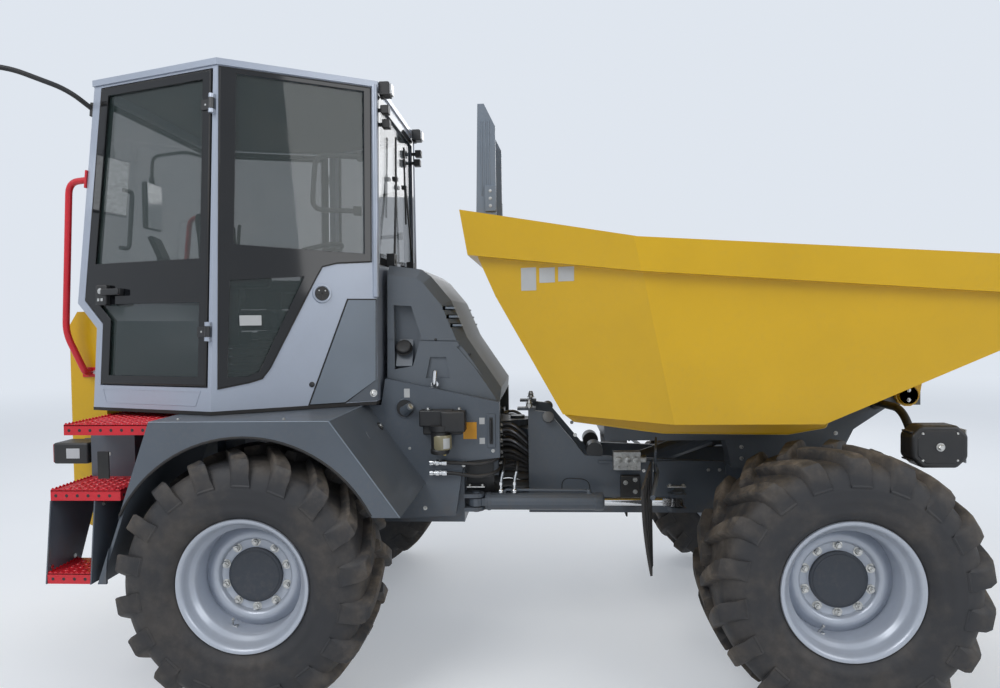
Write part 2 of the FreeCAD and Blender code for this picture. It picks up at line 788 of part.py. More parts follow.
door_knuckles = []
frame_knuckles = []
for z in hinge_heights:
    axis = hinge_point(z)
    knuckle = stud(along_post(axis, -24), along_post(axis, 24), 13)
    knuckle = knuckle.fuse([leaf(z, -24, 24, hinge_inboard, 80, 5), leaf(z, -24, 24, 40, 80, 0)])
    door_knuckles.append(knuckle.cut(bar(along_post(axis, -30), along_post(axis, 30), 6 + running_gap)))
    frame_knuckles.append(bar(along_post(axis, -45), along_post(axis, 45), 6))
    for low in (-44, 26):
        frame_knuckles.append(stud(along_post(axis, low), along_post(axis, low + 18), 13))
        frame_knuckles.append(leaf(z, low, low + 18, 2, hinge_inboard, 0))
cab = cab.fuse([k for shape in frame_knuckles for k in both_sides(shape)])
save("cab_frame", [cab])

roof_plan = [V(p.x, p.y, 0) for p in (head_r, head_b, head_f, across(head_f), across(head_b), across(head_r))]
roof_line = inset(roof_plan, V(0, 0, 1), [-roof_lap] * 6)
save("cab_roof", [prism_z([(p.x, p.y) for p in roof_line], wall_top, cab_roof_z)])

panes = [s for outline in (high_window, low_window) for s in both_sides(pane(outline))]
save("cab_glass", panes + [pane(front_window), pane(rear_window)])

door = slab(door_outline, door_thick)
for outline in door_panes:
    door = door.cut(through(outline))
door = door.fuse(door_knuckles)
for name, shape in zip(("near", "far"), both_sides(door)):
    save("door_" + name, [shape])
door_glass = [pane(outline) for outline in door_panes]
save("door_glass_near", door_glass)
save("door_glass_far", [mirrored(shape) for shape in door_glass])

trim = [on_front_side(x, z) for x, z in ((176, 1335), (325, 1335), (462, 1440), (466, 1849), (344, 1849))]
save("side_trim", both_sides(slab(trim, 0, 8)))

# Grab rails, mirrors, lamps and wipers

def rear_face_x(z):
    """The outer face of the cab's upper rear wall at a height."""
    return at_height(notch_high, head_r, z).x


def front_face_x(z):
    """The outer face of the cab's front wall at a height."""
    return at_height(foot_f, head_f, z).x


rail_top = cab_roof_z - 495
rail_foot = cover_top_z - 323
rail_start = rear_face_x(rail_top) - 5.2
rail = pipe([V(rail_start, -670, rail_top), V(rail_start - 120, -645, rail_top - 5),
             V(rx(-1165), -610, rail_foot + 211), V(rx(-1095), -565, rail_foot),
             V(rx(-1095), -rear_panel_half, rail_foot)], 35, 17)
save("grab_rails", both_sides(rail))

foot_z = cab_roof_z - 140
foot = slab([V(rear_face_x(foot_z + rise), y, foot_z + rise)
             for y, rise in ((-620, -35), (-670, -35), (-670, 35), (-620, 35))], -seat_gap, 26)
arm = pipe([V(rear_face_x(foot_z) - 14, -648, foot_z), V(rx(-1010), -770, foot_z + 70),
            V(rx(-1230), -880, cab_roof_z + 10), V(rx(-1545), -990, cab_roof_z + 10),
            V(rx(-1560), -1000, cab_roof_z - 215)], 30, 13)
head_back = rx(0) - mirror_reach
mirror = block(head_back, head_back + 55, -1110, -890, cab_roof_z - 535, cab_roof_z - 185)
save("mirrors", both_sides(joined([foot, arm, mirror])))

lamp_back = rx(front_post_head[0] + roof_lap) + seat_gap
save("work_lamps", both_sides(block(lamp_back, lamp_back + 69, -520, -430, cab_roof_z - 75, cab_roof_z + 10)))

wiper = [block(front_face_x(window_sill_z + 60) + seat_gap, rx(524), -330, -250,
               window_sill_z - 6, window_sill_z + 60),
         pipe([V(rx(512), -290, window_sill_z + 20), V(rx(500), -140, wall_top - 395)], 1, 7, 6),
         pipe([V(rx(498), -150, wall_top - 615), V(rx(498), -120, wall_top - 155)], 1, 7, 6)]
save("wipers", both_sides(joined(wiper)))

# Seat and console on their swivel

floor_top = cab_floor_z + 40


def swivel_x(distance):
    return rx(swivel_station + distance)


seat_top = floor_top + 330
console_top = floor_top + 620
arm_rests = []
for sign in (-1, 1):
    # inner and outer y, then the ends and heights of each length of the arm rest
    for y0, y1, x0, x1, z0, z1 in ((150, 340, -220, -120, 250, 325), (300, 340, -220, -120, 250, 600),
                                   (290, 380, -260, 60, 560, 640)):
        low, high = min(sign * y0, sign * y1), max(sign * y0, sign * y1)
        arm_rests.append(block(swivel_x(x0), swivel_x(x1), low, high, floor_top + z0, floor_top + z1))
console = [stud(V(swivel_x(0), 0, floor_top + seat_gap), V(swivel_x(0), 0, floor_top + 60), 190, 16)]
# rear and front x, half width, bottom and top of the base plate, seat box and column
for x0, x1, half, z0, z1 in ((-330, 300, 230, floor_top + 60, floor_top + 90),
                             (-300, 20, 190, floor_top + 90, seat_top),
                             (180, 290, 160, floor_top + 90, console_top)):
    console.append(block(swivel_x(x0), swivel_x(x1), -half, half, z0, z1))
save("console", [joined(console + arm_rests)])
cushion = block(swivel_x(-380), swivel_x(90), -240, 240, seat_top + seat_gap, seat_top + 120)
backrest = prism_y([(swivel_x(-380), seat_top + 100), (swivel_x(-270), seat_top + 100),
                    (swivel_x(-360), seat_top + 720), (swivel_x(-450), seat_top + 720)], -230, 230)
save("seat", [joined([cushion, backrest])])
column_top = V(swivel_x(190), 0, console_top + 160)
column = pipe([V(swivel_x(240), 0, console_top - 30), column_top], 1, 28)
column = column.cut(block(swivel_x(100), swivel_x(400), -60, 60, console_top - 100, console_top + seat_gap))
grip = [(14 * math.sin(math.radians(60 * i)), 180 + 14 * math.cos(math.radians(60 * i))) for i in range(6)]
wheel_ring = turned(grip, 16)
wheel_ring.Placement = FreeCAD.Placement(column_top, FreeCAD.Rotation(V(0, 1, 0), V(-0.28, 0, 0.96)))
spoke = pipe([column_top.add(V(0, -178, 0)), column_top.add(V(0, 178, 0))], 1, 11)
save("steering_wheel", [joined([column, wheel_ring, spoke])])


# Front chassis

def tongue(z0):
    """One of the two moving plates of the articulation joint."""
    wing = prism_z([(pivot_x, -joint_eye_radius), (px(tall_start + 40), -front_plate_y + 5),
                    (px(tall_start + 40), front_plate_y - 5), (pivot_x, joint_eye_radius)],
                   z0, z0 + joint_plate)
    return wing.fuse(stud(V(pivot_x, 0, z0), V(pivot_x, 0, z0 + joint_plate), joint_eye_radius, 16))


side = [(px(tall_start), chassis_low_z), (px(tall_start), joint_box_top + 40),
        (px(tall_start + 114), joint_box_top + 25), (px(381), front_beam_top + 35), (fx(-300), front_beam_top),
        (fx(300), front_beam_top), (fx(380), front_beam_top - 90), (fx(380), chassis_low_z)]
plate_near = prism_y(side, -front_plate_y, -front_plate_y + front_plate)
pieces = both_sides(plate_near)
inner_low = joint_low_z + joint_plate + clear_gap
inner_high = joint_high_z - joint_plate - clear_gap
pieces += [tongue(inner_low), tongue(inner_high)]
pieces += [post(pivot_x, 0, joint_pin_radius, joint_low_z - 15, inner_low + joint_plate),
           post(pivot_x, 0, joint_pin_radius, inner_high, joint_high_z + joint_plate + 15)]
# station from the pivot and length of each cross member, with its height
for x0, x1, z0, z1 in ((px(joint_eye_radius + 9), px(tall_start + 100), chassis_low_z, inner_low + 1),
                       (fx(320), fx(380), chassis_low_z, front_beam_top - 90),
                       (fx(-500), fx(-440), chassis_low_z, chassis_low_z + 91),
                       (fx(150), fx(220), chassis_low_z, front_beam_top)):
    pieces.append(block(x0, x1, -front_plate_y, front_plate_y, z0, z1))
for y in (-front_plate_y, front_plate_y - 60):
    pieces.append(block(px(tall_start - 60), px(tall_start + 40), y, y + 60,
                        joint_box_top + 37, joint_box_top + 52))
for y in (-1, 1):
    pieces += clevis_ears(px(steer_eye), y * steer_y, steer_z,
                          px(steer_eye) + ear_half, y * (front_plate_y - 10), "caps")
pieces.append(drum(fx(tip_base), tip_base_z, tip_cylinder_pin, -front_plate_y, front_plate_y))
save("front_chassis", [joined(pieces)])

support_rear = belly_rear_x + 228
support_top = belly_z - 86
support_outline = [(support_rear, 1095), (support_rear, support_top), (40, support_top), (330, 1270),
                   (497, 1391), (655, 1391), (655, 1275), (505, 1275), (320, 1150), (270, 1050),
                   (250, front_beam_top), (-300, front_beam_top), (-330, 1095)]
frame_side = prism_y([(fx(x), z) for x, z in support_outline], -support_y - support_width, -support_y)
shapes = both_sides(frame_side)
shapes += [block(fx(support_rear), fx(support_rear + 65), -support_y, support_y, 1095, support_top),
           block(fx(125), fx(185), -support_y, support_y, 1040, support_top),
           block(fx(200), fx(260), -support_y, support_y, front_beam_top, 1000),
           block(fx(-300), fx(-250), -support_y, -front_plate_y, front_beam_top - 60, front_beam_top + 50),
           block(fx(-300), fx(-250), front_plate_y, support_y, front_beam_top - 60, front_beam_top + 50)]
holes = drum(fx(tip_pivot_ahead), tip_pivot_z, tip_pin_radius + running_gap, -600, 600)
save("skip_support", [joined(shapes).cut(holes)])

lamp_z = tip_pivot_z - 180
lamp_arm = pipe([V(fx(430), -support_y - support_width, lamp_z + 140), V(fx(430), -700, lamp_z + 140),
                 V(fx(440), -800, lamp_z), V(fx(440), -845, lamp_z)], 45, 20)
lamp_head = block(fx(352), fx(596), -960, -840, lamp_z - 96, lamp_z + 94)
save("headlamps", both_sides(joined([lamp_arm, lamp_head])))

valve_x0 = px(528)
valve_y = -front_plate_y - seat_gap
save("valve_block", [joined([block(valve_x0, valve_x0 + 150, valve_y - 62, valve_y, 925, 1015),
                             block(valve_x0 + 40, valve_x0 + 150, valve_y - 24, valve_y, 710, 926)])])

flap = block(fx(-760), fx(-748), -1180, -560, 430, 1010)
flap_arm = block(fx(-748), fx(-700), -1100, -front_plate_y, 885, 935)
save("mud_flaps", both_sides(joined([flap, flap_arm])))


# Skip

rim_rear = V(fx(rim_rear_x), -rim_rear_half, rim_rear_z)
rim_crease = V(fx(crease_x), -rim_half, crease_z)
low_crease = V(fx(belly_crease_x), -belly_half, belly_z)
rim_lip = V(fx(lip_reach), -rim_half, lip_z)
skip_rear_side = [low_crease, rim_crease, rim_rear]
skip_front_side = [low_crease, rim_lip, rim_crease]


def tub_form(grow):
    """The skip's outer form, moved outwards by grow, open ended above the rim."""
    outline = [(rim_rear_x - 40, rim_rear_z + 300), (rim_rear_x + 40, band_rear_z), (knee_x, knee_z),
               (belly_rear_x, belly_rear_z), (belly_crease_x, belly_z), (nose_x, belly_z),
               (lip_reach, lip_low_z), (lip_reach, rim_rear_z + 300)]
    grown = inset([V(fx(x), 0, z) for x, z in outline], V(0, -1, 0), [-grow] * len(outline))
    form = prism_y([(p.x, p.z) for p in grown], -beyond, beyond)
    for corners in (skip_rear_side, skip_front_side):
        normal = flat_normal(corners)
        point = corners[0].add(V(normal).multiply(grow))
        form = trimmed(form, point, normal)
        form = trimmed(form, across(point), across(normal))
    return form


def underside_z(x):
    """A height just inside the rising front floor, where brackets are welded on."""
    slope = (lip_low_z - belly_z) / (lip_reach - nose_x)
    return belly_z + slope * max(0, x - fx(nose_x)) + skip_wall / 2


def carried_on(line, reach):
    """An (x, z) line whose first and last runs go on by reach along X."""
    (x0, z0), (x1, z1) = line[:2]
    (x2, z2), (x3, z3) = line[-2:]
    start = (x0 - reach, z0 - reach * (z1 - z0) / (x1 - x0))
    end = (x3 + reach, z3 + reach * (z3 - z2) / (x3 - x2))
    return [start] + line[1:-1] + [end]


# the rim's top line and the rim band's lower line, as (x, z)
rim_line = carried_on([(fx(rim_rear_x), rim_rear_z), (fx(crease_x), crease_z), (fx(lip_reach), lip_z)], 400)
band_line = carried_on([(fx(rim_rear_x), band_rear_z), (fx(crease_x) + 20, band_crease_z),
                        (fx(lip_reach), lip_low_z)], 400)
cover_over = [(rim_line[-1][0], rim_rear_z + beyond), (rim_line[0][0], rim_rear_z + beyond)]
above_rim = prism_y(rim_line + cover_over, -beyond, beyond)
band_zone = prism_y(rim_line + band_line[::-1], -beyond, beyond)
tub = tub_form(0).cut(above_rim)
band = tub_form(rim_proud).common(band_zone)
tub = tub.fuse(band).cut(tub_form(-skip_wall))
extra = []
for y in (-support_y - 100, support_y + 20):
    extra.append(block(fx(support_rear + 60), fx(-20), y, y + 80, support_top + 0.5, belly_z))
pivot = V(fx(tip_pivot_ahead), 0, tip_pivot_z)
for sign in (-1, 1):
    for y0 in (support_y - clear_gap - tip_ear, support_y + support_width + clear_gap):
        y1 = y0 + tip_ear
        low, high = min(sign * y0, sign * y1), max(sign * y0, sign * y1)
        ear = prism_y([(pivot.x - 60, tip_pivot_z), (pivot.x + 60, tip_pivot_z),
                       (pivot.x + 110, underside_z(pivot.x + 110)),
                       (pivot.x - 130, underside_z(pivot.x - 130))], low, high)
        extra.append(ear.fuse(stud(V(pivot.x, low, tip_pivot_z), V(pivot.x, high, tip_pivot_z), 60, 12)))
    y0, y1 = sign * (support_y - 30), sign * (support_y + support_width + 30)
    extra.append(drum(pivot.x, tip_pivot_z, tip_pin_radius, min(y0, y1), max(y0, y1)))
eye_x = fx(tip_eye)
for y in (-46 - tip_ear, 46):
    extra.append(prism_y([(eye_x - 50, tip_eye_z - 40), (eye_x + 40, tip_eye_z - 40),
                          (eye_x + 60, underside_z(eye_x + 60)),
                          (eye_x - 90, underside_z(eye_x - 90))], y, y + tip_ear))
save("skip_tub", [joined([tub] + extra)])

rim_slope = (crease_z - rim_rear_z) / (crease_x - rim_rear_x)
pieces = []
for y in (-300, 280):
    # x from the skip's rear edge and height over its rim, of one end plate
    plate = [(-10, rim_slope * -10 + seat_gap), (100, rim_slope * 100 + seat_gap), (100, 543),
             (40, 666), (5, 666)]
    pieces.append(prism_y([(fx(rim_rear_x) + x, rim_rear_z + z) for x, z in plate], y, y + 20))
for i in range(guard_slats):
    z = rim_rear_z + 135 + i * 478 / (guard_slats - 1)
    pieces.append(block(fx(rim_rear_x) + 12, fx(rim_rear_x) + 40, -300, 300, z, z + 38))
save("skip_guard", [joined(pieces)])


# Cylinders

def flat_eye(x, y, z):
    """The round eye of a steering cylinder, with its pin hole left out."""
    return stud(V(x, y, z - eye_half), V(x, y, z + eye_half), ear_half - 3, 12)


for name, sign in (("near", -1), ("far", 1)):
    y = sign * steer_y
    base_x = px(steer_base)
    tube = stud(V(base_x + 20, y, steer_z), V(base_x + steer_barrel, y, steer_z), 45, 16)
    bore = bar(V(base_x + 100, y, steer_z), V(base_x + steer_barrel + 1, y, steer_z),
               steer_rod_radius + running_gap)
    slot = block(base_x - 60, base_x + ear_half + clear_gap, y - 60, y + 60, steer_z - 60, steer_z + 60)
    tube = tube.cut(slot)
    neck = block(base_x, base_x + ear_half + clear_gap + 5, y - 25, y + 25,
                 steer_z - eye_half, steer_z + eye_half)
    barrel = joined([tube, neck, flat_eye(base_x, y, steer_z)]).cut(bore)
    barrel = barrel.cut(post(base_x, y, steer_pin_radius + running_gap, steer_z - 60, steer_z + 60))
    save("steer_barrel_" + name, [barrel])
    eye_x = px(steer_eye)
    rod = bar(V(base_x + 370, y, steer_z), V(eye_x - 30, y, steer_z), steer_rod_radius)
    neck = block(eye_x - 75, eye_x, y - 22, y + 22, steer_z - eye_half, steer_z + eye_half)
    rod_eye = flat_eye(eye_x, y, steer_z)
    trimmed_rod = rod.cut(block(eye_x - 60, eye_x + 60, y - 60, y + 60, steer_z - 60, steer_z + 60))
    save("steer_rod_" + name, [joined([trimmed_rod, neck, rod_eye])])

base = V(fx(tip_base), 0, tip_base_z)
eye = V(fx(tip_eye), 0, tip_eye_z)
way = eye.sub(base).normalize()
tip_length = eye.sub(base).Length
tip_barrel = tip_length * tip_barrel_share


def along_tip(distance):
    return base.add(V(way).multiply(distance))


barrel = joined([stud(V(base.x, -40, base.z), V(base.x, 40, base.z), 55, 16),
                 stud(along_tip(30), along_tip(tip_barrel), 55, 16)])
barrel = barrel.cut([drum(base.x, base.z, tip_cylinder_pin + running_gap, -60, 60),
                     bar(along_tip(120), along_tip(tip_barrel + 1), tip_rod_radius + running_gap)])
save("tip_barrel", [barrel])
save("tip_rod", [joined([bar(along_tip(200), along_tip(tip_length), tip_rod_radius),
                         stud(V(eye.x, -38, eye.z), V(eye.x, 38, eye.z), 44, 12)])])

os.makedirs("parts", exist_ok=True)
extent = FreeCAD.BoundBox()
for node, shape in parts.items():
    shape.exportStep("parts/" + node + ".step")
    extent.add(shape.BoundBox)
print(len(parts), "nodes", extent)
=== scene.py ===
import json
import math
import bpy
import bmesh
from mathutils import Matrix, Vector


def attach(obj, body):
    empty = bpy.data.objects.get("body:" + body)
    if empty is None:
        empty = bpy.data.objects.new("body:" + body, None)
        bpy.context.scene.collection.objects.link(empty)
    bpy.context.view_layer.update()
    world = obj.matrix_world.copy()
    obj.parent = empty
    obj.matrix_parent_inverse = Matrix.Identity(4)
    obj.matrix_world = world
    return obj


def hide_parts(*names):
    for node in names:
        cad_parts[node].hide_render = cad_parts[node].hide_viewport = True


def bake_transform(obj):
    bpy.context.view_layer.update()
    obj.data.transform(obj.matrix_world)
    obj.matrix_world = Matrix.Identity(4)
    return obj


# The site dumper's looks: finishes of every CAD piece, and the details that ride on its bodies.
# Metres, in the frame of the CAD model: +X towards the skip, +Y to the far side, +Z up.

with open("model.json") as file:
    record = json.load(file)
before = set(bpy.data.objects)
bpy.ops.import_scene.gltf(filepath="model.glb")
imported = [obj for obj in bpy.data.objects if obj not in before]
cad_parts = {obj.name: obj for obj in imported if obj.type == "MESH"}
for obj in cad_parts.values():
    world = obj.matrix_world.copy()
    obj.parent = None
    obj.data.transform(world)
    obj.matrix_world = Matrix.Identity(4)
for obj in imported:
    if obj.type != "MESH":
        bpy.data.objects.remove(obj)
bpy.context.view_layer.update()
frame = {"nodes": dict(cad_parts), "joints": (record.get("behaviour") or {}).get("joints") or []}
nodes = frame["nodes"]
pivots = {joint["name"]: Vector(joint["pos_m"]) for joint in frame["joints"] if "pos_m" in joint}
REAR = pivots["wheel_rear_near_turn"]
FRONT = pivots["wheel_front_near_turn"]
ARTICULATION = pivots["articulation"]
NEAR, FAR = -1, 1


def rear(x, y, z):
    """A point given by its distance ahead of the rear axle, and its y and z."""
    return Vector((REAR.x + x, y, z))


def front(x, y, z):
    """A point given by its distance ahead of the front axle, and its y and z."""
    return Vector((FRONT.x + x, y, z))


def joint_point(x, y, z):
    """A point given by its distance ahead of the articulation joint, and its y and z."""
    return Vector((ARTICULATION.x + x, y, z))


# Camera

CAMERA_AHEAD, CAMERA_SIDE, CAMERA_HIGH = 1.3322, -4.2963, 1.7274
CAMERA_YAW, CAMERA_PITCH, CAMERA_ROLL = 0.0606, 0.0298, -0.0130
FOCAL_PIXELS, PICTURE_WIDTH = 732.26, 1000

camera_data = bpy.data.cameras.new("camera")
camera_data.sensor_width = 36.0
camera_data.lens = camera_data.sensor_width * FOCAL_PIXELS / PICTURE_WIDTH
camera_data.clip_end = 200.0
camera = bpy.data.objects.new("camera", camera_data)
bpy.context.scene.collection.objects.link(camera)
ahead = Vector((-math.sin(CAMERA_YAW) * math.cos(CAMERA_PITCH), math.cos(CAMERA_YAW) * math.cos(CAMERA_PITCH),
                -math.sin(CAMERA_PITCH)))
level = Vector((math.cos(CAMERA_YAW), math.sin(CAMERA_YAW), 0))
upright = level.cross(ahead)
right = level * math.cos(CAMERA_ROLL) + upright * math.sin(CAMERA_ROLL)
up = upright * math.cos(CAMERA_ROLL) - level * math.sin(CAMERA_ROLL)
turn = Matrix((right, up, -ahead)).transposed()
camera.matrix_world = Matrix.Translation(rear(CAMERA_AHEAD, CAMERA_SIDE, CAMERA_HIGH)) @ turn.to_4x4()
bpy.context.scene.camera = camera


# Materials

class Finish:
    """A node material around one Principled shader, textured in the object's own coordinates."""

    def __init__(self, name, roughness=0.5, metallic=0.0, **sockets):
        self.material = bpy.data.materials.new(name)
        self.material.use_nodes = True
        self.tree = self.material.node_tree
        self.shader = self.tree.nodes["Principled BSDF"]
        self.place = self.add("ShaderNodeTexCoord").outputs["Object"]
        self.shader.inputs["Roughness"].default_value = roughness
        self.shader.inputs["Metallic"].default_value = metallic
        for socket, value in sockets.items():
            self.shader.inputs[socket.replace("_", " ")].default_value = value

    def add(self, kind, **settings):
        node = self.tree.nodes.new(kind)
        for key, value in settings.items():
            setattr(node, key, value)
        return node

    def link(self, start, end):
        self.tree.links.new(start, end)

    def noise(self, scale, detail=4.0, rough=0.55, stretch=None):
        node = self.add("ShaderNodeTexNoise")
        node.inputs["Scale"].default_value = scale
        node.inputs["Detail"].default_value = detail
        node.inputs["Roughness"].default_value = rough
        place = self.place
        if stretch:
            mapping = self.add("ShaderNodeMapping")
            mapping.inputs["Scale"].default_value = stretch
            self.link(place, mapping.inputs["Vector"])
            place = mapping.outputs["Vector"]
        self.link(place, node.inputs["Vector"])
        return node.outputs["Fac"]

    def remap(self, value, low, high, out_low=0.0, out_high=1.0):
        node = self.add("ShaderNodeMapRange", interpolation_type="SMOOTHSTEP")
        for socket, number in (("From Min", low), ("From Max", high), ("To Min", out_low), ("To Max", out_high)):
            node.inputs[socket].default_value = number
        self.link(value, node.inputs["Value"])
        return node.outputs["Result"]

    def math(self, operation, a, b):
        node = self.add("ShaderNodeMath", operation=operation)
        for socket, value in zip(node.inputs, (a, b)):
            if isinstance(value, (int, float)):
                socket.default_value = value
            else:
                self.link(value, socket)
        return node.outputs["Value"]

    def mix(self, factor, a, b):
        node = self.add("ShaderNodeMix", data_type="RGBA")
        self.link(factor, node.inputs["Factor"])
        for socket, value in ((node.inputs[6], a), (node.inputs[7], b)):
            if isinstance(value, tuple):
                socket.default_value = (*value, 1)
            else:
                self.link(value, socket)
        return node.outputs[2]

    def position(self, axis):
        node = self.add("ShaderNodeSeparateXYZ")
        self.link(self.place, node.inputs["Vector"])
        return node.outputs[axis]

    def facing_up(self):
        normal = self.add("ShaderNodeNewGeometry").outputs["Normal"]
        split = self.add("ShaderNodeSeparateXYZ")
        self.link(normal, split.inputs["Vector"])
        return self.remap(split.outputs["Z"], 0.35, 0.95)

    def colour(self, value):
        socket = self.shader.inputs["Base Color"]
        if isinstance(value, tuple):
            socket.default_value = (*value, 1)
        else:
            self.link(value, socket)

    def roughness(self, value):
        self.link(value, self.shader.inputs["Roughness"])

    def bump(self, height, distance, strength=1.0):
        node = self.add("ShaderNodeBump")
        node.inputs["Distance"].default_value = distance
        node.inputs["Strength"].default_value = strength
        self.link(height, node.inputs["Height"])
        self.link(node.outputs["Normal"], self.shader.inputs["Normal"])


DUST = (0.24, 0.20, 0.155)
MUD = (0.155, 0.12, 0.088)


def paint(name, colour, roughness=0.38, coat=0.25, dust=0.35, mud=0.5, mud_top=0.95, shift=0.88, metallic=0.0):
    """Sprayed paint: slight colour drift, dust on what faces up, mud low down, fine orange peel."""
    f = Finish(name, roughness, metallic, Coat_Weight=coat, Coat_Roughness=0.18)
    deeper = tuple(c * shift for c in colour)
    base = f.mix(f.remap(f.noise(1.7, 6.0), 0.35, 0.7), colour, deeper)
    fine = f.remap(f.noise(46.0, 8.0, 0.7), 0.42, 0.72)
    broad = f.remap(f.noise(3.1, 7.0, 0.62), 0.3, 0.75)
    film = f.math("MULTIPLY", f.math("MULTIPLY", fine, broad), dust * 0.55)
    settled = f.math("MULTIPLY", f.math("MULTIPLY", f.facing_up(), broad), dust)
    dusty = f.math("MAXIMUM", film, settled)
    base = f.mix(dusty, base, DUST)
    low = f.remap(f.position("Z"), mud_top, mud_top - 0.75)
    spots = f.remap(f.noise(9.0, 10.0, 0.68), 0.48, 0.62)
    splash = f.math("MULTIPLY", f.math("MULTIPLY", low, spots), mud)
    base = f.mix(splash, base, MUD)
    f.colour(base)
    f.roughness(f.math("MINIMUM", f.math("ADD", roughness, f.math("ADD", f.math("MULTIPLY", dusty, 0.5),
                                                                f.math("MULTIPLY", splash, 0.5))), 0.95))
    f.bump(f.noise(320.0, 2.0), 0.0004, 0.25)
    return f.material


def moulded(name, colour, roughness=0.55, grain=900.0, depth=0.0003, dust=0.3):
    """Moulded plastic or rubber with a fine grain and a little dust."""
    f = Finish(name, roughness)
    broad = f.remap(f.noise(5.0, 6.0, 0.6), 0.35, 0.75)
    settled = f.math("MULTIPLY", f.math("ADD", f.math("MULTIPLY", f.facing_up(), 0.7), 0.18), broad)
    dusty = f.math("MULTIPLY", settled, dust)
    f.colour(f.mix(dusty, f.mix(f.noise(14.0, 3.0), colour, tuple(c * 0.8 for c in colour)), DUST))
    f.roughness(f.math("ADD", roughness, f.math("MULTIPLY", dusty, 0.3)))
    f.bump(f.noise(grain, 2.0), depth, 0.5)
    return f.material


def tyre_rubber():
    """Black rubber whose lugs and grooves carry dried mud. The tread lies far from the wheel's axle."""
    f = Finish("tyre_rubber", 0.75)
    x, z = f.position("X"), f.position("Z")
    up = f.math("SUBTRACT", z, REAR.z)
    # the wheel's own centre: the nearer of the two axles
    from_rear = f.math("ABSOLUTE", f.math("SUBTRACT", x, REAR.x), 0.0)
    from_front = f.math("ABSOLUTE", f.math("SUBTRACT", x, FRONT.x), 0.0)
    along = f.math("MINIMUM", from_rear, from_front)
    radius = f.math("SQRT", f.math("ADD", f.math("MULTIPLY", along, along), f.math("MULTIPLY", up, up)), 0.0)
    tread = f.remap(radius, 0.46, 0.56)
    tops = f.remap(radius, 0.555, 0.582)
    patches = f.remap(f.noise(6.5, 10.0, 0.66), 0.36, 0.62)
    cake = f.math("MULTIPLY", tread, patches)
    side_film = f.math("MULTIPLY", f.remap(f.noise(3.4, 8.0, 0.66), 0.42, 0.72), 0.30)
    dirt = f.math("MAXIMUM", f.math("MULTIPLY", cake, f.remap(tops, 0.0, 1.0, 0.45, 0.85)), side_film)
    rubber = f.mix(f.noise(11.0, 5.0), (0.019, 0.020, 0.023), (0.031, 0.031, 0.034))
    earth = f.mix(f.remap(f.noise(22.0, 8.0), 0.3, 0.7), (0.115, 0.092, 0.070), (0.205, 0.172, 0.138))
    f.colour(f.mix(dirt, rubber, earth))
    f.roughness(f.remap(dirt, 0.0, 1.0, 0.62, 0.93))
    f.bump(f.math("ADD", f.math("MULTIPLY", f.noise(70.0, 8.0, 0.7), dirt), f.math("MULTIPLY", f.noise(260.0, 3.0), 0.2)),
           0.003, 0.6)
    return f.material


def bare_metal(name, colour, roughness=0.25, brushed=None):
    f = Finish(name, roughness, 1.0)
    streaks = f.noise(60.0, 4.0, 0.6, brushed)
    f.colour(f.mix(f.remap(streaks, 0.35, 0.7), colour, tuple(c * 0.72 for c in colour)))
    f.roughness(f.remap(f.noise(30.0, 5.0), 0.3, 0.7, roughness * 0.8, roughness * 1.5))
    f.bump(streaks, 0.0002, 0.4)
    return f.material


def window_glass(name, colour, alpha):
    """Tinted safety glass with a faint film of dust."""
    f = Finish(name, 0.03, 0.0, Alpha=alpha, Coat_Weight=0.6, Coat_Roughness=0.02)
    film = f.math("MULTIPLY", f.remap(f.noise(4.0, 8.0, 0.6), 0.4, 0.8), 0.10)
    f.colour(f.mix(film, colour, DUST))
    f.roughness(f.remap(film, 0.0, 0.1, 0.02, 0.10))
    return f.material


def lens(name, colour, roughness=0.12, ribs=260.0):
    """A lamp's ribbed lens."""
    f = Finish(name, roughness, 0.0, Coat_Weight=0.8, Coat_Roughness=0.03)
    wave = f.add("ShaderNodeTexWave", bands_direction="Y")
    wave.inputs["Scale"].default_value = ribs
    f.link(f.place, wave.inputs["Vector"])
    f.colour(f.mix(wave.outputs["Fac"], colour, tuple(c * 0.6 for c in colour)))
    f.bump(wave.outputs["Fac"], 0.0006, 0.6)
    return f.material


def woven(name, colour, scale=340.0):
    """Seat cloth: two crossed sets of threads."""
    f = Finish(name, 0.9, 0.0, Sheen_Weight=0.35, Sheen_Roughness=0.5)
    threads = []
    for direction in ("X", "Y"):
        wave = f.add("ShaderNodeTexWave", bands_direction=direction)
        wave.inputs["Scale"].default_value = scale
        wave.inputs["Distortion"].default_value = 1.5
        f.link(f.place, wave.inputs["Vector"])
        threads.append(wave.outputs["Fac"])
    weave = f.math("MULTIPLY", threads[0], threads[1])
    f.colour(f.mix(weave, colour, tuple(c * 2.2 for c in colour)))
    f.bump(weave, 0.0007, 0.7)
    return f.material


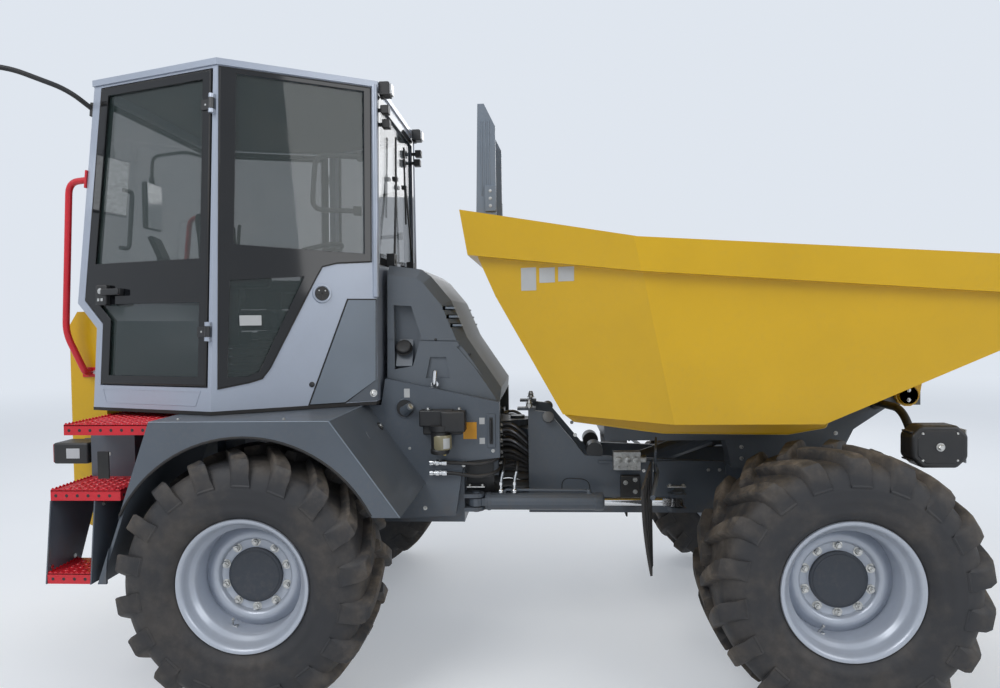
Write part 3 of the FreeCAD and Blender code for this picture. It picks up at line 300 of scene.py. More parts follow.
YELLOW = paint("yellow_enamel", (0.76, 0.450, 0.002), 0.36, 0.22, 0.13, 0.35, 1.2, 0.92)
CHASSIS = paint("slate_enamel", (0.094, 0.113, 0.138), 0.42, 0.2, 0.26, 0.50, 1.05, 0.84)
HOOD = paint("hood_enamel", (0.128, 0.148, 0.172), 0.45, 0.15, 0.24, 0.2, 0.8, 0.86)
SILVER = paint("silver_enamel", (0.405, 0.450, 0.535), 0.32, 0.4, 0.12, 0.2, 1.0, 0.94, 0.20)
RED = paint("red_enamel", (0.68, 0.008, 0.022), 0.40, 0.25, 0.09, 0.20, 0.95, 0.88)
RIM = paint("rim_enamel", (0.50, 0.540, 0.610), 0.30, 0.35, 0.16, 0.35, 0.50, 0.90, 0.20)
BLACK = moulded("black_moulding", (0.017, 0.018, 0.020), 0.45)
FRAME_BLACK = moulded("door_enamel", (0.020, 0.021, 0.023), 0.32, 500.0, 0.0001, 0.25)
GREY_MOULDING = moulded("grey_moulding", (0.16, 0.165, 0.17), 0.5)
RUBBER = moulded("black_rubber", (0.014, 0.014, 0.015), 0.7, 260.0, 0.0006, 0.45)
HOSE = moulded("hose_rubber", (0.012, 0.012, 0.013), 0.5, 500.0, 0.0004, 0.5)
TYRE = tyre_rubber()
STEEL = bare_metal("zinc_steel", (0.62, 0.62, 0.60), 0.3)
CHROME = bare_metal("bright_chrome", (0.78, 0.79, 0.80), 0.10, (4.0, 60.0, 60.0))
CASTING = moulded("dark_casting", (0.06, 0.06, 0.062), 0.75, 180.0, 0.002, 0.5)
GLASS = window_glass("tinted_glass", (0.030, 0.050, 0.048), 0.42)
MIRROR = bare_metal("mirror_face", (0.85, 0.87, 0.88), 0.04)
CLEAR_LENS = lens("clear_lens", (0.72, 0.74, 0.76))
RED_LENS = lens("red_lens", (0.50, 0.012, 0.010))
AMBER_LENS = lens("amber_lens", (0.85, 0.26, 0.01))
HUB_BLUE = paint("hub_enamel", (0.034, 0.042, 0.056), 0.45, 0.15, 0.30, 0.3, 0.6)
FRIT = moulded("frit_glass", (0.007, 0.008, 0.010), 0.06, 300.0, 0.00001, 0.08)
BOWL = moulded("filter_bowl", (0.30, 0.27, 0.17), 0.12, 300.0, 0.00001, 0.2)
CAST_BRIGHT = bare_metal("bright_casting", (0.55, 0.55, 0.53), 0.42)
BRAID = bare_metal("hose_braid", (0.20, 0.20, 0.21), 0.40, (400.0, 400.0, 400.0))
BRASS = bare_metal("yellow_passivated", (0.72, 0.58, 0.22), 0.35)
TRIM = paint("trim_enamel", (0.195, 0.235, 0.285), 0.38, 0.25, 0.18, 0.2, 1.0)
HEADLINING = woven("headlining", (0.050, 0.052, 0.056), 500.0)
SCREEN = moulded("dark_screen", (0.006, 0.007, 0.010), 0.06, 300.0, 0.00001, 0.1)
SEAT_CLOTH = woven("seat_cloth", (0.030, 0.031, 0.036))
LABEL_WHITE = moulded("blank_label", (0.62, 0.63, 0.63), 0.35, 300.0, 0.0001, 0.2)
LABEL_AMBER = moulded("amber_label", (0.80, 0.36, 0.01), 0.35, 300.0, 0.0001, 0.2)

# material of each CAD node, by the start of its name
NODE_FINISH = {
    "skip_tub": YELLOW, "rear_panel": YELLOW,
    "step_treads": RED, "grab_rails": RED,
    "cab_frame": SILVER, "cab_roof": SILVER,
    "cab_glass": GLASS, "door_glass": GLASS,
    "door_near": FRAME_BLACK, "door_far": FRAME_BLACK,
    "engine_hood": HOOD, "side_trim": TRIM,
    "engine_block": CASTING, "valve_block": STEEL,
    "filter_unit": BLACK, "rear_lamps": BLACK, "work_lamps": BLACK, "headlamps": BLACK, "mirrors": BLACK,
    "wipers": BLACK, "console": BLACK, "steering_wheel": BLACK, "skip_guard": TRIM,
    "seat": SEAT_CLOTH, "mud_flaps": RUBBER, "tyre": TYRE, "rim": RIM,
    "exhaust_stub": CHROME, "steer_rod": CHROME, "tip_rod": CHROME,
}
for name, node in nodes.items():
    finish = next((m for start, m in NODE_FINISH.items() if name.startswith(start)), CHASSIS)
    node.data.materials.clear()
    node.data.materials.append(finish)


# Making shapes

class Shape:
    """Solids gathered in one mesh, which then rides on one body."""

    def __init__(self):
        self.bm = bmesh.new()

    def box(self, low, high):
        corners = [Vector((x, y, z)) for x in (low[0], high[0]) for y in (low[1], high[1]) for z in (low[2], high[2])]
        made = bmesh.ops.create_cube(self.bm, size=1.0)["verts"]
        middle = (corners[0] + corners[-1]) / 2
        size = corners[-1] - corners[0]
        for v in made:
            v.co = middle + Vector(v.co[i] * size[i] for i in range(3))
        return made

    def prism(self, outline, travel):
        """A flat outline of points, moved along travel."""
        base = [self.bm.verts.new(p) for p in outline]
        top = [self.bm.verts.new(Vector(p) + Vector(travel)) for p in outline]
        count = len(base)
        self.bm.faces.new(base[::-1])
        self.bm.faces.new(top)
        for i in range(count):
            self.bm.faces.new((base[i], base[(i + 1) % count], top[(i + 1) % count], top[i]))
        return base + top

    def lathe(self, profile, start, way, sides=48, closed=False):
        """A profile of (distance along the axis, radius) turned about the axis from start."""
        turn = Vector(way).to_track_quat("Z", "Y")
        rings = []
        for along, radius in profile:
            ring = []
            for i in range(sides):
                angle = 2 * math.pi * i / sides
                local = Vector((radius * math.cos(angle), radius * math.sin(angle), along))
                ring.append(self.bm.verts.new(Vector(start) + turn @ local))
            rings.append(ring)
        count = len(rings)
        for k in range(count if closed else count - 1):
            a, b = rings[k], rings[(k + 1) % count]
            for i in range(sides):
                self.bm.faces.new((a[i], a[(i + 1) % sides], b[(i + 1) % sides], b[i]))
        if not closed:
            self.bm.faces.new(rings[0][::-1])
            self.bm.faces.new(rings[-1])
        return [v for ring in rings for v in ring]

    def rod(self, start, end, radius, end_radius=None, sides=24):
        way = Vector(end) - Vector(start)
        return self.lathe([(0, radius), (way.length, radius if end_radius is None else end_radius)], start, way, sides)

    def bolt(self, at, way, size, washer=True):
        """A hexagon bolt head of a given width, with its washer."""
        way = Vector(way).normalized()
        at = Vector(at)
        if washer:
            self.lathe([(0, size * 0.78), (size * 0.14, size * 0.78)], at, way, 20)
        self.lathe([(size * 0.10, size * 0.56), (size * 0.52, size * 0.56), (size * 0.62, size * 0.46)], at, way, 6)

    def dome(self, at, way, radius, height, sides=24):
        """A low domed cap."""
        steps = 5
        profile = [(height * math.sin(math.pi / 2 * i / steps), radius * math.cos(math.pi / 2 * i / steps) + 0.0004)
                   for i in range(steps + 1)]
        self.lathe(profile, at, way, sides)

    def ring(self, centre, way, radius, thick, sides=64, round_sides=12):
        """A round bar bent to a ring about way."""
        steps = [2 * math.pi * i / round_sides for i in range(round_sides)]
        self.lathe([(thick * math.sin(a), radius + thick * math.cos(a)) for a in steps], centre, way, sides, closed=True)

    def pad(self, at, along, up, length, height, thick):
        """A flat block standing on a face: at is the middle of its foot, and along and up lie in the face."""
        along, up = Vector(along).normalized(), Vector(up).normalized()
        corners = [Vector(at) + along * a * length / 2 + up * b * height / 2
                   for a, b in ((-1, -1), (1, -1), (1, 1), (-1, 1))]
        self.prism(corners, along.cross(up) * thick)

    def plate(self, loops, travel):
        """A flat plate with holes: its outline and then the holes, moved along travel."""
        levels = []
        for shift in (Vector(), Vector(travel)):
            rings = [[self.bm.verts.new(Vector(p) + shift) for p in loop] for loop in loops]
            edges = [self.bm.edges.new((ring[i - 1], ring[i])) for ring in rings for i in range(len(ring))]
            bmesh.ops.triangle_fill(self.bm, use_beauty=True, edges=edges)
            levels.append(rings)
        for low, high in zip(*levels):
            for i in range(len(low)):
                self.bm.faces.new((low[i - 1], low[i], high[i], high[i - 1]))

    def pipe(self, points, bend, radius, sides=16):
        """A round bar along straight runs with smooth bends."""
        line = rounded([Vector(p) for p in points], bend)
        frame_x = None
        rings = []
        for i, point in enumerate(line):
            way = (line[min(i + 1, len(line) - 1)] - line[max(i - 1, 0)]).normalized()
            if frame_x is None:
                frame_x = way.orthogonal().normalized()
            frame_x = (frame_x - way * frame_x.dot(way)).normalized()
            frame_y = way.cross(frame_x)
            rings.append([self.bm.verts.new(point + (frame_x * math.cos(a) + frame_y * math.sin(a)) * radius)
                          for a in (2 * math.pi * k / sides for k in range(sides))])
        for a, b in zip(rings, rings[1:]):
            for k in range(sides):
                self.bm.faces.new((a[k], a[(k + 1) % sides], b[(k + 1) % sides], b[k]))
        self.bm.faces.new(rings[0][::-1])
        self.bm.faces.new(rings[-1])

    def place(self, name, material, body, slot=None, bevel=0.0, segments=2, angle=35.0, both=False, far_body=None):
        """Finish the mesh as one object that rides on a body. both adds its mirror image across Y = 0 to the same
        piece, and far_body makes the mirror image a second piece on its own body."""
        if both:
            copy = bmesh.ops.duplicate(self.bm, geom=self.bm.verts[:] + self.bm.edges[:] + self.bm.faces[:])["geom"]
            for v in (g for g in copy if isinstance(g, bmesh.types.BMVert)):
                v.co.y *= -1
            bmesh.ops.reverse_faces(self.bm, faces=[g for g in copy if isinstance(g, bmesh.types.BMFace)])
        bmesh.ops.recalc_face_normals(self.bm, faces=self.bm.faces)
        mesh = bpy.data.meshes.new(name)
        self.bm.to_mesh(mesh)
        if far_body:
            bmesh.ops.scale(self.bm, vec=(1, -1, 1), verts=self.bm.verts)
            bmesh.ops.reverse_faces(self.bm, faces=self.bm.faces)
            mirrored = bpy.data.meshes.new(name + "_far")
            self.bm.to_mesh(mirrored)
            self.far_piece = dress(mirrored, name + "_far", material, far_body, bevel, segments, angle)
        self.bm.free()
        return dress(mesh, name, material, body, bevel, segments, angle)


def rounded(points, bend, steps=6):
    """A line whose inner corners are rounded."""
    line = [points[0]]
    for before, corner, after in zip(points, points[1:], points[2:]):
        reach = min(bend, (before - corner).length * 0.48, (after - corner).length * 0.48)
        start = corner + (before - corner).normalized() * reach
        end = corner + (after - corner).normalized() * reach
        for i in range(steps + 1):
            t = i / steps
            line.append(start * (1 - t) ** 2 + corner * 2 * t * (1 - t) + end * t ** 2)
    return line + [points[-1]]


def dress(mesh, name, material, body, bevel=0.0, segments=2, angle=35.0):
    piece = bpy.data.objects.new(name, mesh)
    bpy.context.scene.collection.objects.link(piece)
    mesh.materials.clear()
    mesh.materials.append(material)
    for polygon in mesh.polygons:
        polygon.use_smooth = True
    if bevel:
        modifier = piece.modifiers.new("edges", "BEVEL")
        modifier.width = bevel
        modifier.segments = segments
        modifier.limit_method = "ANGLE"
        modifier.angle_limit = math.radians(angle)
        modifier.harden_normals = False
    mesh.set_sharp_from_angle(angle=math.radians(angle))
    if body:
        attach(piece, body)
    return piece


def tube(name, points, radius, material, body, smooth=True, sides=6):
    """A round tube along a smooth line through a few points."""
    curve = bpy.data.curves.new(name, "CURVE")
    curve.dimensions = "3D"
    curve.bevel_depth = radius
    curve.bevel_resolution = sides
    curve.use_fill_caps = True
    spline = curve.splines.new("NURBS" if smooth else "POLY")
    spline.points.add(len(points) - 1)
    for target, point in zip(spline.points, points):
        target.co = (*point, 1)
    if smooth:
        spline.order_u = 4
        spline.use_endpoint_u = True
        spline.resolution_u = 8
    holder = bpy.data.objects.new(name + ".line", curve)
    bpy.context.scene.collection.objects.link(holder)
    mesh = bpy.data.meshes.new_from_object(holder.evaluated_get(bpy.context.evaluated_depsgraph_get()))
    bpy.data.objects.remove(holder)
    return dress(mesh, name, material, body, angle=60.0)


# Wheels

TYRE_RADIUS = REAR.z
TYRE_HALF = 0.250
CARCASS_RADIUS = 0.546
BEAD_RADIUS = 0.287
RIM_HALF = 0.215
LUG_COUNT = 18
LUG_ANGLE = math.radians(32)


def tyre_mesh(name, centre, outward, body, node):
    """Carcass with rounded shoulders and ribbed sidewalls, and slanted lugs that wrap over the shoulders."""
    shape = Shape()
    # distance from the tyre's middle plane, radius; one half, from the bead up to the tread
    half = [(0.203, BEAD_RADIUS), (0.206, 0.302), (0.222, 0.315), (0.236, 0.332), (0.2405, 0.352), (0.2385, 0.360),
            (0.2455, 0.382), (0.2470, 0.405), (0.2440, 0.430), (0.2450, 0.437), (0.2425, 0.446), (0.2385, 0.470),
            (0.228, 0.500), (0.212, 0.524), (0.186, 0.538), (0.130, 0.544), (0.060, CARCASS_RADIUS)]
    profile = half + [(-y, r) for y, r in reversed(half)]
    shape.lathe(profile, centre, (0, 1, 0), 144, closed=True)
    pitch = 2 * math.pi / LUG_COUNT
    # one lug: distance from the middle plane, bottom radius, top radius, width
    stations = [(-0.012, 0.536, 0.585, 0.050), (0.045, 0.538, 0.585, 0.060), (0.110, 0.536, 0.5845, 0.066),
                (0.165, 0.530, 0.583, 0.072), (0.200, 0.518, 0.579, 0.078), (0.226, 0.492, 0.566, 0.082),
                (0.240, 0.466, 0.540, 0.084), (0.2475, 0.452, 0.500, 0.084), (0.2440, 0.444, 0.462, 0.080)]
    flare = 1.30
    edge = 0.006
    for side in (-1, 1):
        for i in range(LUG_COUNT):
            start = pitch * (i + (0.25 if side > 0 else 0.75))
            rings = []
            for y, low, top, width in stations:
                shift = (y - TYRE_HALF / 2) * math.tan(LUG_ANGLE) / TYRE_RADIUS
                middle = start + shift
                ring = []
                for offset, r in ((-width / 2 * flare, low), (-width / 2, top - edge), (-width / 2 + edge, top),
                                  (width / 2 - edge, top), (width / 2, top - edge), (width / 2 * flare, low)):
                    angle = middle + offset / TYRE_RADIUS
                    ring.append(shape.bm.verts.new(Vector(centre) + Vector(
                        (r * math.sin(angle), side * y, r * math.cos(angle)))))
                rings.append(ring)
            for a, b in zip(rings, rings[1:]):
                for k in range(5):
                    shape.bm.faces.new((a[k], a[k + 1], b[k + 1], b[k]))
                shape.bm.faces.new((a[5], a[0], b[0], b[5]))
            shape.bm.faces.new(rings[0])
            shape.bm.faces.new(rings[-1][::-1])
    piece = shape.place(name, TYRE, body, "tyre_tread", angle=32.0)
    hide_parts(node)
    return piece


HUB_FACE = RIM_HALF - 0.161
# distance from the rim's middle plane outwards and radius, round its section: the disc's outer face, the outer
# barrel and lip, the inner barrel and lip, and the disc's inner face with the hub
RIM_SECTION = [
    (0.040, 0.062), (0.040, 0.1245), (0.038, 0.130), (0.038, 0.159), (0.0395, 0.1625), (0.047, 0.1645), (0.0545, 0.1665),
    (0.061, 0.1705), (0.066, 0.177), (0.068, 0.185), (0.0675, 0.194), (0.064, 0.203), (0.058, 0.211), (0.049, 0.219),
    (0.040, 0.229), (0.034, 0.2375),
    (0.120, 0.2385), (0.138, 0.240), (0.147, 0.2465), (0.158, 0.258), (0.168, 0.2645), (0.188, 0.270), (0.201, 0.2745),
    (0.210, 0.280), (0.2145, 0.288), (0.2142, 0.2965), (0.210, 0.299), (0.203, 0.299), (0.203, 0.286), (0.165, 0.278),
    (0.145, 0.250),
    (-0.145, 0.250), (-0.165, 0.278), (-0.203, 0.286), (-0.203, 0.299), (-0.215, 0.299), (-0.215, 0.274), (-0.147, 0.238),
    (0.018, 0.238), (0.030, 0.222), (0.050, 0.203), (0.050, 0.177), (0.020, 0.171), (0.020, 0.150), (-0.136, 0.125),
    (-0.136, 0.062)]


def rim_mesh(name, centre, side, body, node):
    shape = Shape()
    shape.lathe(RIM_SECTION, centre, (0, side, 0), 128, closed=True)
    piece = shape.place(name, RIM, body, "rim_paint", angle=38.0)
    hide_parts(node)


def wheel_details(tag, centre, side, body):
    """Hub cap, wheel nuts and valve."""
    out = Vector((0, side, 0))
    face = Vector(centre) + out * HUB_FACE
    cap = Shape()
    cap.lathe([(0.0032, 0.114), (0.0060, 0.112), (0.0068, 0.100), (0.0056, 0.060), (0.0060, 0.012)], face, out, 64)
    cap.lathe([(-0.014, 0.1245), (0.0012, 0.1245), (0.0036, 0.1215), (0.0042, 0.1125)], face, out, 64)
    cap.place("hub_cap_" + tag, HUB_BLUE, body, "chassis_paint")
    nuts = Shape()
    count = 10
    for i in range(count):
        angle = 2 * math.pi * (i + 0.5) / count
        at = face + Vector((0.149 * math.cos(angle), 0, 0.149 * math.sin(angle))) - out * 0.0165
        nuts.bolt(at, out, 0.027)
        nuts.rod(at, at + out * 0.026, 0.0075, sides=12)
    nuts.place("wheel_nuts_" + tag, STEEL, body, "bright_rod")
    valve = Shape()
    base = Vector(centre) + Vector((-0.10, 0, -0.222)) + out * 0.085
    valve.rod(base, base + Vector((0.012, side * 0.02, 0.030)), 0.0048, sides=12)
    valve.rod(base + Vector((0.010, side * 0.017, 0.026)), base + Vector((0.016, side * 0.028, 0.042)), 0.0062, sides=12)
    valve.box(base + Vector((-0.026, -0.012, -0.006)), base + Vector((0.026, 0.012, 0.002)))
    valve.place("valve_" + tag, STEEL, body, "bright_rod", bevel=0.001)


for end, axle in (("rear", REAR), ("front", FRONT)):
    for tag, side in (("near", NEAR), ("far", FAR)):
        centre = Vector((axle.x, side * abs(axle.y), axle.z))
        body = f"wheel_{end}_{tag}"
        tyre_mesh(f"tyre_{end}_{tag}.rubber", centre, side, body, f"tyre_{end}_{tag}")
        rim_mesh(f"rim_{end}_{tag}.pressed", centre, side, body, f"rim_{end}_{tag}")
        wheel_details(f"{end}_{tag}", centre, side, body)


# Windows: one black-bordered plate of glass on each side and door, found from the panes of the frame

CAB_MIDDLE = rear(-0.25, 0, 2.3)
WALL_TOP = 2.945


class Wall:
    """A flat side of the cab, on which a point is named by its distance ahead of the rear axle and its height."""

    def __init__(self, a, b, c):
        self.origin = a
        self.normal = (b - a).cross(c - a).normalized()
        if self.normal.dot(a - CAB_MIDDLE) < 0:
            self.normal.negate()
        self.along = Vector((0, 0, 1)).cross(self.normal).normalized()
        self.up = self.normal.cross(self.along)

    def at(self, x, z, lift=0.0):
        point = rear(x, 0, z)
        point.y = (self.origin - point).dot(self.normal) / self.normal.y
        return point + self.normal * lift

    def onto(self, point, lift=0.0):
        return point + self.normal * (lift - (point - self.origin).dot(self.normal))


FOOT_B = rear(-0.214, -1.000, 1.329)
HEAD_B = rear(-0.176, -0.930, 2.975)
HEAD_R = rear(-0.925, -0.678, 2.975)
HEAD_F = rear(0.481, -0.529, 2.975)
BACK_SIDE = Wall(FOOT_B, HEAD_B, HEAD_R)
FRONT_SIDE = Wall(FOOT_B, HEAD_F, HEAD_B)


def pane_outlines(node):
    """The outer outline of each flat pane in a node, with its outward normal."""
    bm = bmesh.new()
    bm.from_mesh(nodes[node].data)
    bmesh.ops.remove_doubles(bm, verts=bm.verts, dist=1e-5)
    bmesh.ops.dissolve_limit(bm, angle_limit=math.radians(1), verts=bm.verts, edges=bm.edges)
    bm.faces.ensure_lookup_table()
    todo = set(bm.faces)
    found = []
    while todo:
        group, queue = [], [todo.pop()]
        while queue:
            face = queue.pop()
            group.append(face)
            for edge in face.edges:
                for other in edge.link_faces:
                    if other in todo:
                        todo.remove(other)
                        queue.append(other)
        group.sort(key=lambda face: -face.calc_area())
        outer = max(group[:2], key=lambda face: (face.calc_center_median() - CAB_MIDDLE).dot(face.normal))
        found.append(([v.co.copy() for v in outer.verts], outer.normal.copy()))
    bm.free()
    return found


def inset_outline(points, margins):
    """A flat outline whose edges are moved inwards, each by its own margin."""
    count = len(points)
    normal = sum((points[i - 1].cross(points[i]) for i in range(count)), Vector()).normalized()
    lines = []
    for i in range(count):
        along = (points[(i + 1) % count] - points[i]).normalized()
        lines.append((points[i] + normal.cross(along) * margins[i], along))
    corners = []
    for i in range(count):
        before, before_way = lines[i - 1]
        after, after_way = lines[i]
        side = normal.cross(after_way)
        corners.append(before + before_way * ((after - before).dot(side) / before_way.dot(side)))
    return corners


def border(shape, points, normal, margin, lift, thick):
    """A flat frame inside an outline."""
    inner = inset_outline(points, [margin] * len(points))
    shape.plate([[p + normal * lift for p in ring] for ring in (points, inner)], normal * thick)


def glass_plate(name, wall, outline, panes, body, **how):
    """The black printed glass round the clear panes, with a rubber edge."""
    shape = Shape()
    holes = [[wall.onto(p, 0.0006) for p in inset_outline(pane, [0.010] * len(pane))] for pane in panes]
    shape.plate([[wall.onto(p, 0.0006) for p in outline]] + holes, wall.normal * 0.0045)
    shape.place(name, FRIT, body, "black_plastic", bevel=0.0012, **how)
    seal = Shape()
    border(seal, [wall.onto(p) for p in inset_outline(outline, [-0.006] * len(outline))], wall.normal, 0.007, 0.0004,
           0.0036)
    seal.place(name + "_seal", RUBBER, body, "black_plastic", **how)


cab_panes = pane_outlines("cab_glass")
side_panes = [points for points, normal in cab_panes if normal.y < -0.5]
# x and z round the black glass of the cab's side, from the measured edge
side_glass = [FRONT_SIDE.at(x, z) for x, z in ((-0.166, 2.934), (0.452, 2.934), (0.447, 2.048), (0.297, 2.036), (0.233, 2.016),
                                               (0.204, 1.956), (0.014, 1.524), (-0.018, 1.475), (-0.067, 1.459),
                                               (-0.184, 1.437))]
glass_plate("side_glass", FRONT_SIDE, side_glass, side_panes, "rear_frame", both=True)
wall_line = [BACK_SIDE.at(x, z) for x, z in ((-0.930, 1.329), (-0.214, 1.329), (-0.177, WALL_TOP), (-0.928, WALL_TOP),
                                             (-1.038, 1.851), (-0.910, 1.724))]
door_line = inset_outline(wall_line, [0.123, 0.035, 0.025, 0.061, 0.055, 0.053])
door_panes = [points for points, normal in pane_outlines("door_glass_near")]
glass_plate("door_plate", BACK_SIDE, door_line, door_panes, "door_near", far_body="door_far")
shape = Shape()
for points, normal in cab_panes:
    if abs(normal.y) < 0.5:
        wide = inset_outline(points, [-0.012] * len(points))
        border(shape, wide, normal, 0.040, 0.0086, 0.0040)
shape.place("end_glass_borders", FRIT, "rear_frame", "black_plastic", bevel=0.0012)


# Cab: roof, vents, handles, hinges, rails, mirrors and lamps

ALONG, UP, OUT = Vector((1, 0, 0)), Vector((0, 0, 1)), Vector((0, -1, 0))
shape = Shape()
roof_line = [rear(x, y, 2.9745) for x, y in ((-0.925, -0.678), (-0.176, -0.930), (0.481, -0.529), (0.481, 0.529),
                                             (-0.176, 0.930), (-0.925, 0.678))]
inner = inset_outline(roof_line, [0.060] * 6)
crown = inset_outline(roof_line, [0.115] * 6)
rings = [[shape.bm.verts.new(p + UP * h) for p in line] for line, h in ((inner, 0.0), (inner, 0.006), (crown, 0.019))]
for low, high in zip(rings, rings[1:]):
    for i in range(6):
        shape.bm.faces.new((low[i - 1], low[i], high[i], high[i - 1]))
shape.bm.faces.new(rings[0][::-1])
shape.bm.faces.new(rings[-1])
for y in (-0.36, -0.18, 0.0, 0.18, 0.36):
    shape.box(rear(-0.78, y - 0.020, 2.990), rear(0.34, y + 0.020, 2.9965))
shape.place("roof_panel", SILVER, "rear_frame", "cab_paint", bevel=0.004, segments=3)
shape = Shape()
edge = inset_outline(roof_line, [-0.0095] * 6)
border(shape, [Vector((p.x, p.y, 2.948)) for p in edge], UP, 0.004, 0.0, 0.006)
shape.place("roof_drip_edge", RUBBER, "rear_frame", "black_plastic")
shape = Shape()
lining = [Vector((p.x, p.y, 2.9440)) for p in inset_outline(roof_line, [0.052] * 6)]
shape.prism(lining, (0, 0, -0.010))
shape.place("headlining", HEADLINING, "rear_frame", "black_plastic", bevel=0.003)

# round vent and cap beside the lower pane
shape = Shape()
at = FRONT_SIDE.at(0.232, 1.881)
shape.lathe([(0.0, 0.048), (0.005, 0.0475), (0.008, 0.045), (0.0085, 0.039), (0.006, 0.0365), (0.003, 0.036)], at,
            FRONT_SIDE.normal, 48)
shape.place("vent_ring", SILVER, "rear_frame", "cab_paint", both=True)
shape = Shape()
shape.lathe([(0.0031, 0.0355), (0.0050, 0.034), (0.0050, 0.012)], at, FRONT_SIDE.normal, 40)
for way, other in ((FRONT_SIDE.along, FRONT_SIDE.up), (FRONT_SIDE.up, -FRONT_SIDE.along)):
    shape.pad(at + FRONT_SIDE.normal * 0.0048, way, other, 0.064, 0.012, 0.0034)
shape.lathe([(0, 0.014), (0.004, 0.0135), (0.006, 0.008)], FRONT_SIDE.at(0.185, 1.432), FRONT_SIDE.normal, 24)
shape.place("vent_insert", BLACK, "rear_frame", "black_plastic", bevel=0.0006, both=True)
shape = Shape()
for a, b in ((0.016, 0.014), (-0.015, 0.015), (0.001, -0.021)):
    shape.dome(at + FRONT_SIDE.along * a + FRONT_SIDE.up * b + FRONT_SIDE.normal * 0.005, FRONT_SIDE.normal, 0.0034, 0.0014, 12)
shape.place("vent_screws", STEEL, "rear_frame", "bright_rod", both=True)

# seam round the trim panel
shape = Shape()
trim = [FRONT_SIDE.at(x, z, 0.0) for x, z in ((0.176, 1.335), (0.325, 1.335), (0.462, 1.440), (0.466, 1.849), (0.344, 1.849))]
wide = inset_outline(trim, [-0.007] * 5)
shape.plate([[p + FRONT_SIDE.normal * 0.0003 for p in ring] for ring in (wide, trim)], FRONT_SIDE.normal * 0.0014)
shape.place("trim_seam", RUBBER, "rear_frame", "black_plastic", both=True)
# cover plate under the trim panel, and the round post at the cab's front corner
shape = Shape()
shape.prism([FRONT_SIDE.at(x, z, 0.0004) for x, z in ((0.333, 1.3335), (0.4745, 1.3335), (0.4745, 1.4420), (0.4660, 1.4420))],
            FRONT_SIDE.normal * 0.0036)
shape.place("corner_cover", CHASSIS, "rear_frame", "chassis_paint", bevel=0.0008, both=True)
shape = Shape()
shape.rod(FRONT_SIDE.at(0.4700, 1.866, 0.0), FRONT_SIDE.at(0.4725, 2.955, 0.0), 0.0165, sides=28)
shape.dome(FRONT_SIDE.at(0.4700, 1.867, 0.0), (0, 0, -1), 0.0165, 0.006, 28)
shape.place("corner_posts", SILVER, "rear_frame", "cab_paint", angle=40, both=True)
shape = Shape()
shape.pad(FRONT_SIDE.at(-0.060, 1.751, 0.0010), FRONT_SIDE.along, FRONT_SIDE.up, 0.100, 0.048, 0.0012)
shape.place("glass_blank_label", LABEL_WHITE, "rear_frame", "cab_paint")
# recessed bare panel in the sill
shape = Shape()
sill = [BACK_SIDE.at(x, z) for x, z in ((-0.850, 1.352), (-0.300, 1.352), (-0.272, 1.424), (-0.872, 1.424))]
border(shape, sill, BACK_SIDE.normal, 0.005, 0.0003, 0.0016)
shape.place("sill_panel", SILVER, "rear_frame", "cab_paint", bevel=0.0006, both=True)
shape = Shape()
shape.plate([[rear(x, y, 1.3292) for x, y in line] for line in (
    ((-0.932, -0.758), (-0.214, -1.003), (0.470, -0.600), (0.470, 0.600), (-0.214, 1.003), (-0.932, 0.758)),
    ((-0.90, -0.70), (-0.21, -0.94), (0.44, -0.57), (0.44, 0.57), (-0.21, 0.94), (-0.90, 0.70)))], (0, 0, -0.016))
shape.place("cab_foot_seal", RUBBER, "rear_frame", "black_plastic")

# door lock with its pull handle, and the grip inside
shape = Shape()
shape.pad(BACK_SIDE.at(-0.848, 1.886, 0.004), BACK_SIDE.along, BACK_SIDE.up, 0.072, 0.100, 0.030)
shape.pad(BACK_SIDE.at(-0.785, 1.900, 0.030), BACK_SIDE.along, BACK_SIDE.up, 0.120, 0.032, 0.014)
shape.pad(BACK_SIDE.at(-0.738, 1.900, 0.004), BACK_SIDE.along, BACK_SIDE.up, 0.020, 0.034, 0.030)
shape.place("door_handle", BLACK, "door_near", "black_plastic", bevel=0.006, segments=3, far_body="door_far")
shape = Shape()
shape.lathe([(0, 0.015), (0.004, 0.0145), (0.0055, 0.011)], BACK_SIDE.at(-0.850, 1.905, 0.034), BACK_SIDE.normal, 28)
shape.pad(BACK_SIDE.at(-0.850, 1.905, 0.0393), BACK_SIDE.along, BACK_SIDE.up, 0.003, 0.012, 0.0006)
for x in (-0.860, -0.838):
    shape.pad(BACK_SIDE.at(x, 1.862, 0.034), BACK_SIDE.along, BACK_SIDE.up, 0.014, 0.014, 0.003)
shape.place("door_lock", STEEL, "door_near", "bright_rod", bevel=0.0008, far_body="door_far")
shape = Shape()
low, high = BACK_SIDE.at(-0.812, 2.130, -0.046), BACK_SIDE.at(-0.790, 2.420, -0.046)
shape.pipe([low, low - BACK_SIDE.normal * 0.055, high - BACK_SIDE.normal * 0.055, high], 0.035, 0.011)
shape.place("door_grip", GREY_MOULDING, "door_near", "black_plastic", far_body="door_far")
shape = Shape()
low, high = FRONT_SIDE.at(0.300, 2.310, -0.050), FRONT_SIDE.at(0.318, 2.590, -0.050)
back = -FRONT_SIDE.along * 0.105 - FRONT_SIDE.normal * 0.030
post = FRONT_SIDE.along * 0.120
shape.pipe([low + post, low + back, high + back, high + post], 0.060, 0.013)
shape.place("cab_grip", GREY_MOULDING, "rear_frame", "black_plastic", both=True)
shape = Shape()
for end in (low, high):
    shape.pad(end + post + FRONT_SIDE.normal * 0.002, FRONT_SIDE.up, -FRONT_SIDE.along, 0.050, 0.044, 0.008)
shape.place("cab_grip_feet", GREY_MOULDING, "rear_frame", "black_plastic", bevel=0.003, both=True)

